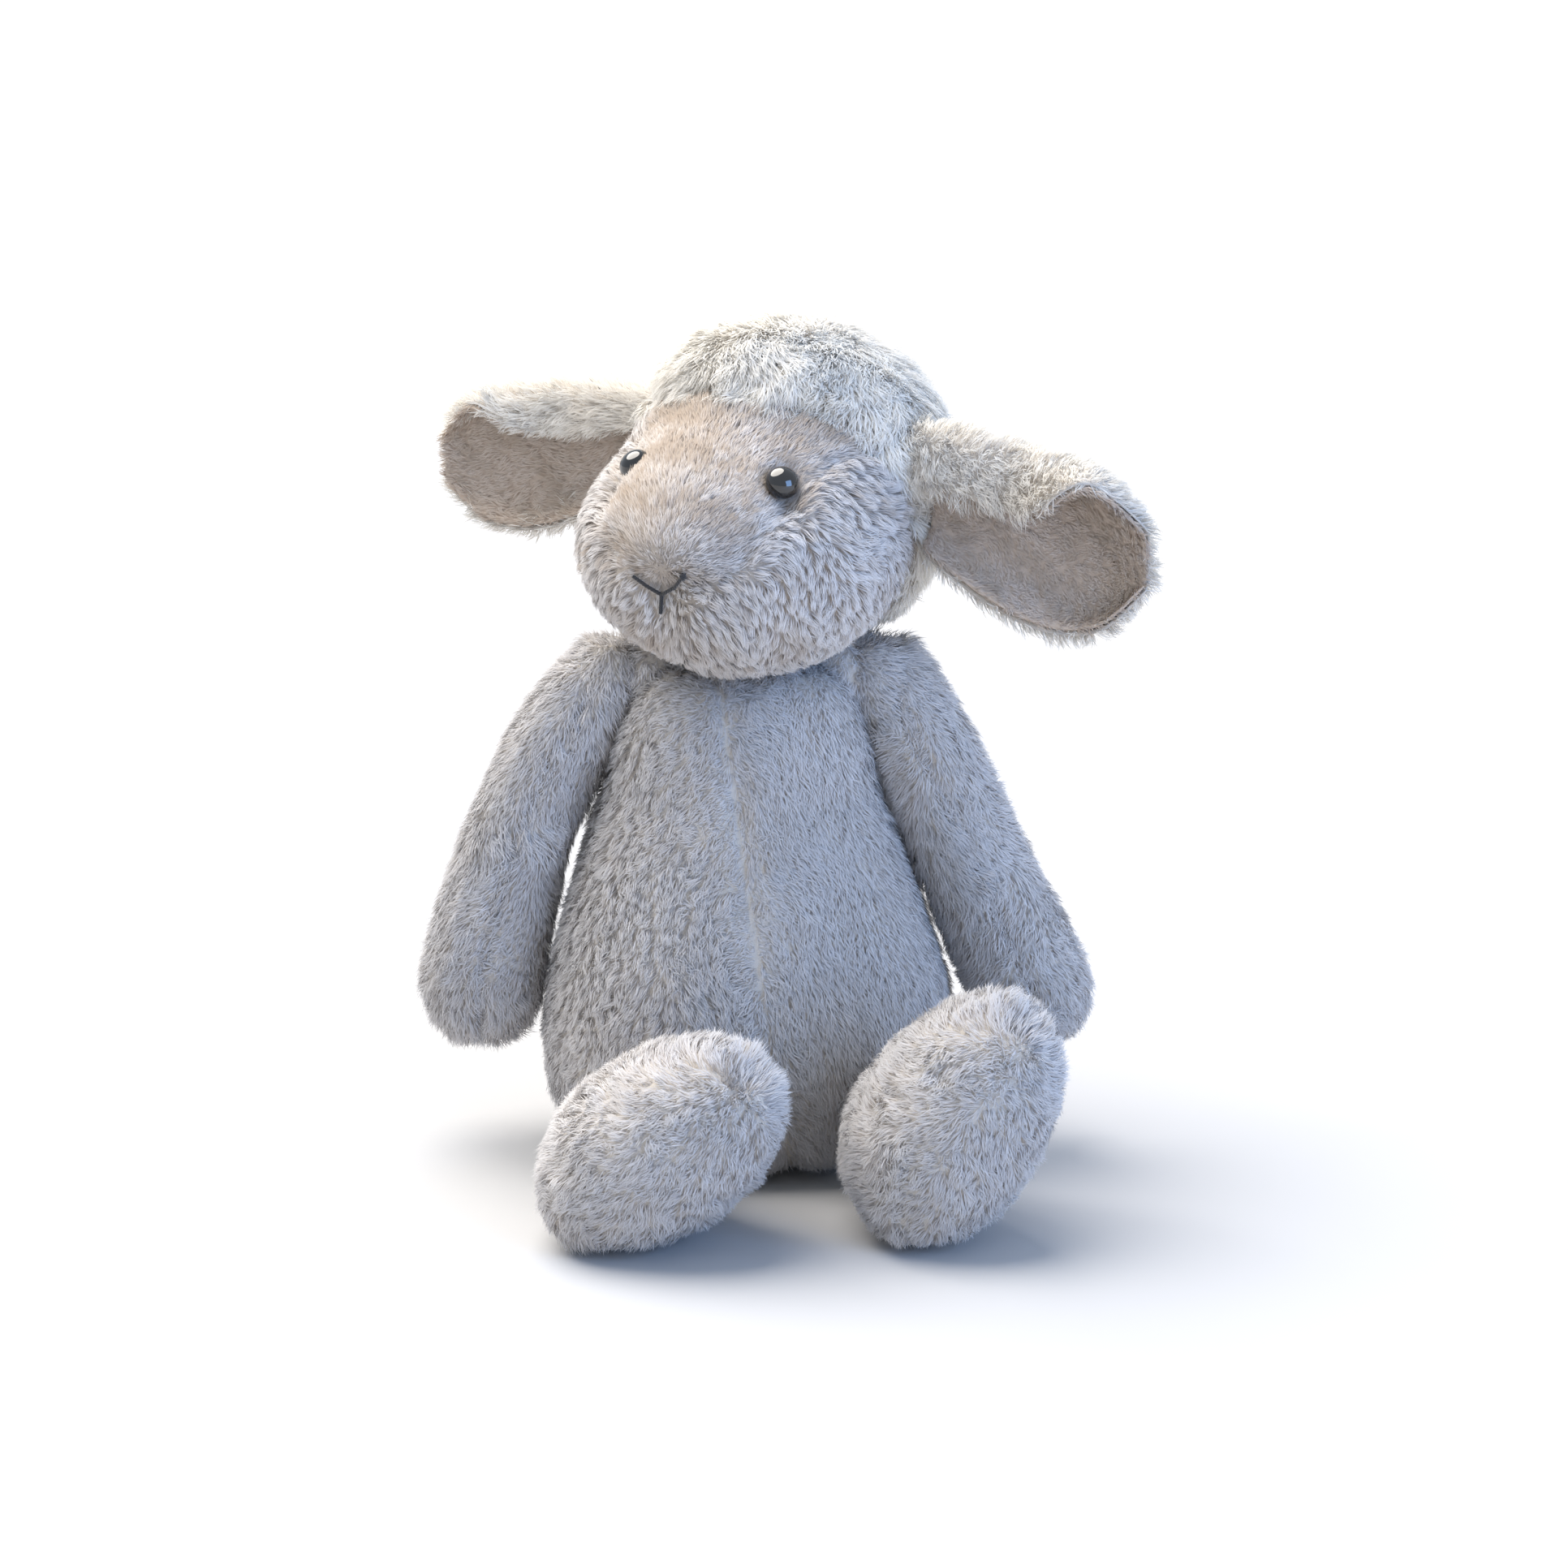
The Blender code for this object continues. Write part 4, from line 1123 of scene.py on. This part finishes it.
def nose(head_skin):
    """A shallow V of black thread with a knot, and a stem that runs down from its lowest corner."""
    corners = [on_head(head_skin, up, aside) for up, aside in NOSE_CORNERS]
    stitch = plied("nose_stitch", corners, THREAD_RADIUS, plies=3, turns=7)
    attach(stitch, "head")
    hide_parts("nose_thread")
    end = np.array(corners[-1])
    turned = [COIL_TURN * k for k in range(COIL_POINTS)]
    ring = [np.array((math.cos(angle), -0.3, math.sin(angle))) for angle in turned]
    coil = [end + place * COIL_RADIUS * MM for place in ring]
    knot = plied("nose_knot", coil, KNOT_RADIUS, plies=2, turns=5)
    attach(knot, "head")
    low, aside = min(NOSE_CORNERS)
    stem = [on_head(head_skin, low - STEM_STEP * k, aside) for k in range(STEM_POINTS)]
    mouth = plied("mouth_stitch", stem, THREAD_RADIUS, plies=3, turns=3)
    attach(mouth, "head")
    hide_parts("mouth_thread")


def gather(name, body, half_sizes, seed):
    """The gathered cloth round a sewn ring: a soft furry knuckle between two stuffed pieces."""
    low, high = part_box(name + "_stitching")
    middle = (np.array(low) + np.array(high)) / 2
    bpy.ops.mesh.primitive_ico_sphere_add(subdivisions=4, radius=1)
    obj = bpy.context.object
    obj.name = name + "_gather"
    set_coordinates(obj.data, middle + coordinates(obj.data) * np.array(half_sizes) * MM)
    obj.data.shade_smooth()
    dress(obj, backing_cloth, body, [name + "_stitching"])

    def style(points, ups):
        made = Style(len(points))
        made.comb[:, 2] = -1
        return made

    pile(name + "_gather_pile", obj, body, GATHER_DENSITY, style, seed, body_pile_painted_shade)


# ---------------------------------------------------------------- setting

FLOOR_SIZE = 200
FLOOR_GREY = (0.47, 0.47, 0.48)
WORLD_COLOUR, WORLD_STRENGTH = (0.82, 0.90, 1.0), 0.7
# A broad warm sun from behind and above, and a blue fill from the front right
SUN_COLOUR, SUN_ENERGY, SUN_ANGLE = (1.0, 0.95, 0.88), 5.8, 60
SUN_PLACE = (-0.45, 0.3, 1.2)
FILL_COLOUR, FILL_ENERGY, FILL_SIZE = (0.28, 0.52, 1.0), 12, 0.8
FILL_PLACE = (0.9, -0.9, 0.5)
LAMP_TARGET = Vector((0, 0, 0.1))
CAMERA_TARGET = Vector((8.4, 0, 87.7)) * MM
CAMERA_ELEVATION, CAMERA_DISTANCE = 14, 1.1
LENS, SENSOR = 107.6, 36


def floor():
    bpy.ops.mesh.primitive_plane_add(size=FLOOR_SIZE)
    made = bpy.context.object
    made.name = "floor"
    paper, _, shader = new_material("floor_paper")
    shader.inputs["Base Color"].default_value = (*FLOOR_GREY, 1)
    shader.inputs["Roughness"].default_value = 0.9
    made.data.materials.append(paper)


def lights():
    world = bpy.data.worlds.new("studio_world")
    bpy.context.scene.world = world
    world.use_nodes = True
    background = world.node_tree.nodes["Background"]
    background.inputs["Color"].default_value = (*WORLD_COLOUR, 1)
    background.inputs["Strength"].default_value = WORLD_STRENGTH
    bpy.context.scene.view_settings.view_transform = "Standard"
    sun = bpy.data.lights.new("sun", "SUN")
    sun.energy = SUN_ENERGY
    sun.angle = math.radians(SUN_ANGLE)
    sun.color = SUN_COLOUR
    fill = bpy.data.lights.new("fill", "AREA")
    fill.size = FILL_SIZE
    fill.energy = FILL_ENERGY
    fill.color = FILL_COLOUR
    for data, place in ((sun, SUN_PLACE), (fill, FILL_PLACE)):
        lamp = link(bpy.data.objects.new(data.name, data))
        lamp.location = place
        lamp.rotation_euler = (LAMP_TARGET - Vector(place)).to_track_quat("-Z", "Y").to_euler()


def camera():
    elevation = math.radians(CAMERA_ELEVATION)
    away = Vector((0, -math.cos(elevation), math.sin(elevation)))
    data = bpy.data.cameras.new("camera")
    data.lens = LENS
    data.sensor_width = SENSOR
    data.clip_start = 0.05
    made = link(bpy.data.objects.new("camera", data))
    made.location = CAMERA_TARGET + away * CAMERA_DISTANCE
    made.rotation_euler = (-away).to_track_quat("-Z", "Y").to_euler()
    bpy.context.scene.camera = made


torso()
head()
for side, sign in SIDES.items():
    arm(side, sign)
    leg(side, sign)
    ear(side, sign)
    eye(side)
    gather("shoulder_%s" % side, "shoulder_%s_seam" % side, SHOULDER_GATHER, 100 + sign)
    gather("hip_%s" % side, "hip_%s_seam" % side, HIP_GATHER, 104 + sign)
gather("neck", "neck_seam", NECK_GATHER, 108)
tail()
nose(bpy.data.objects["head_skin"])
floor()
lights()
camera()
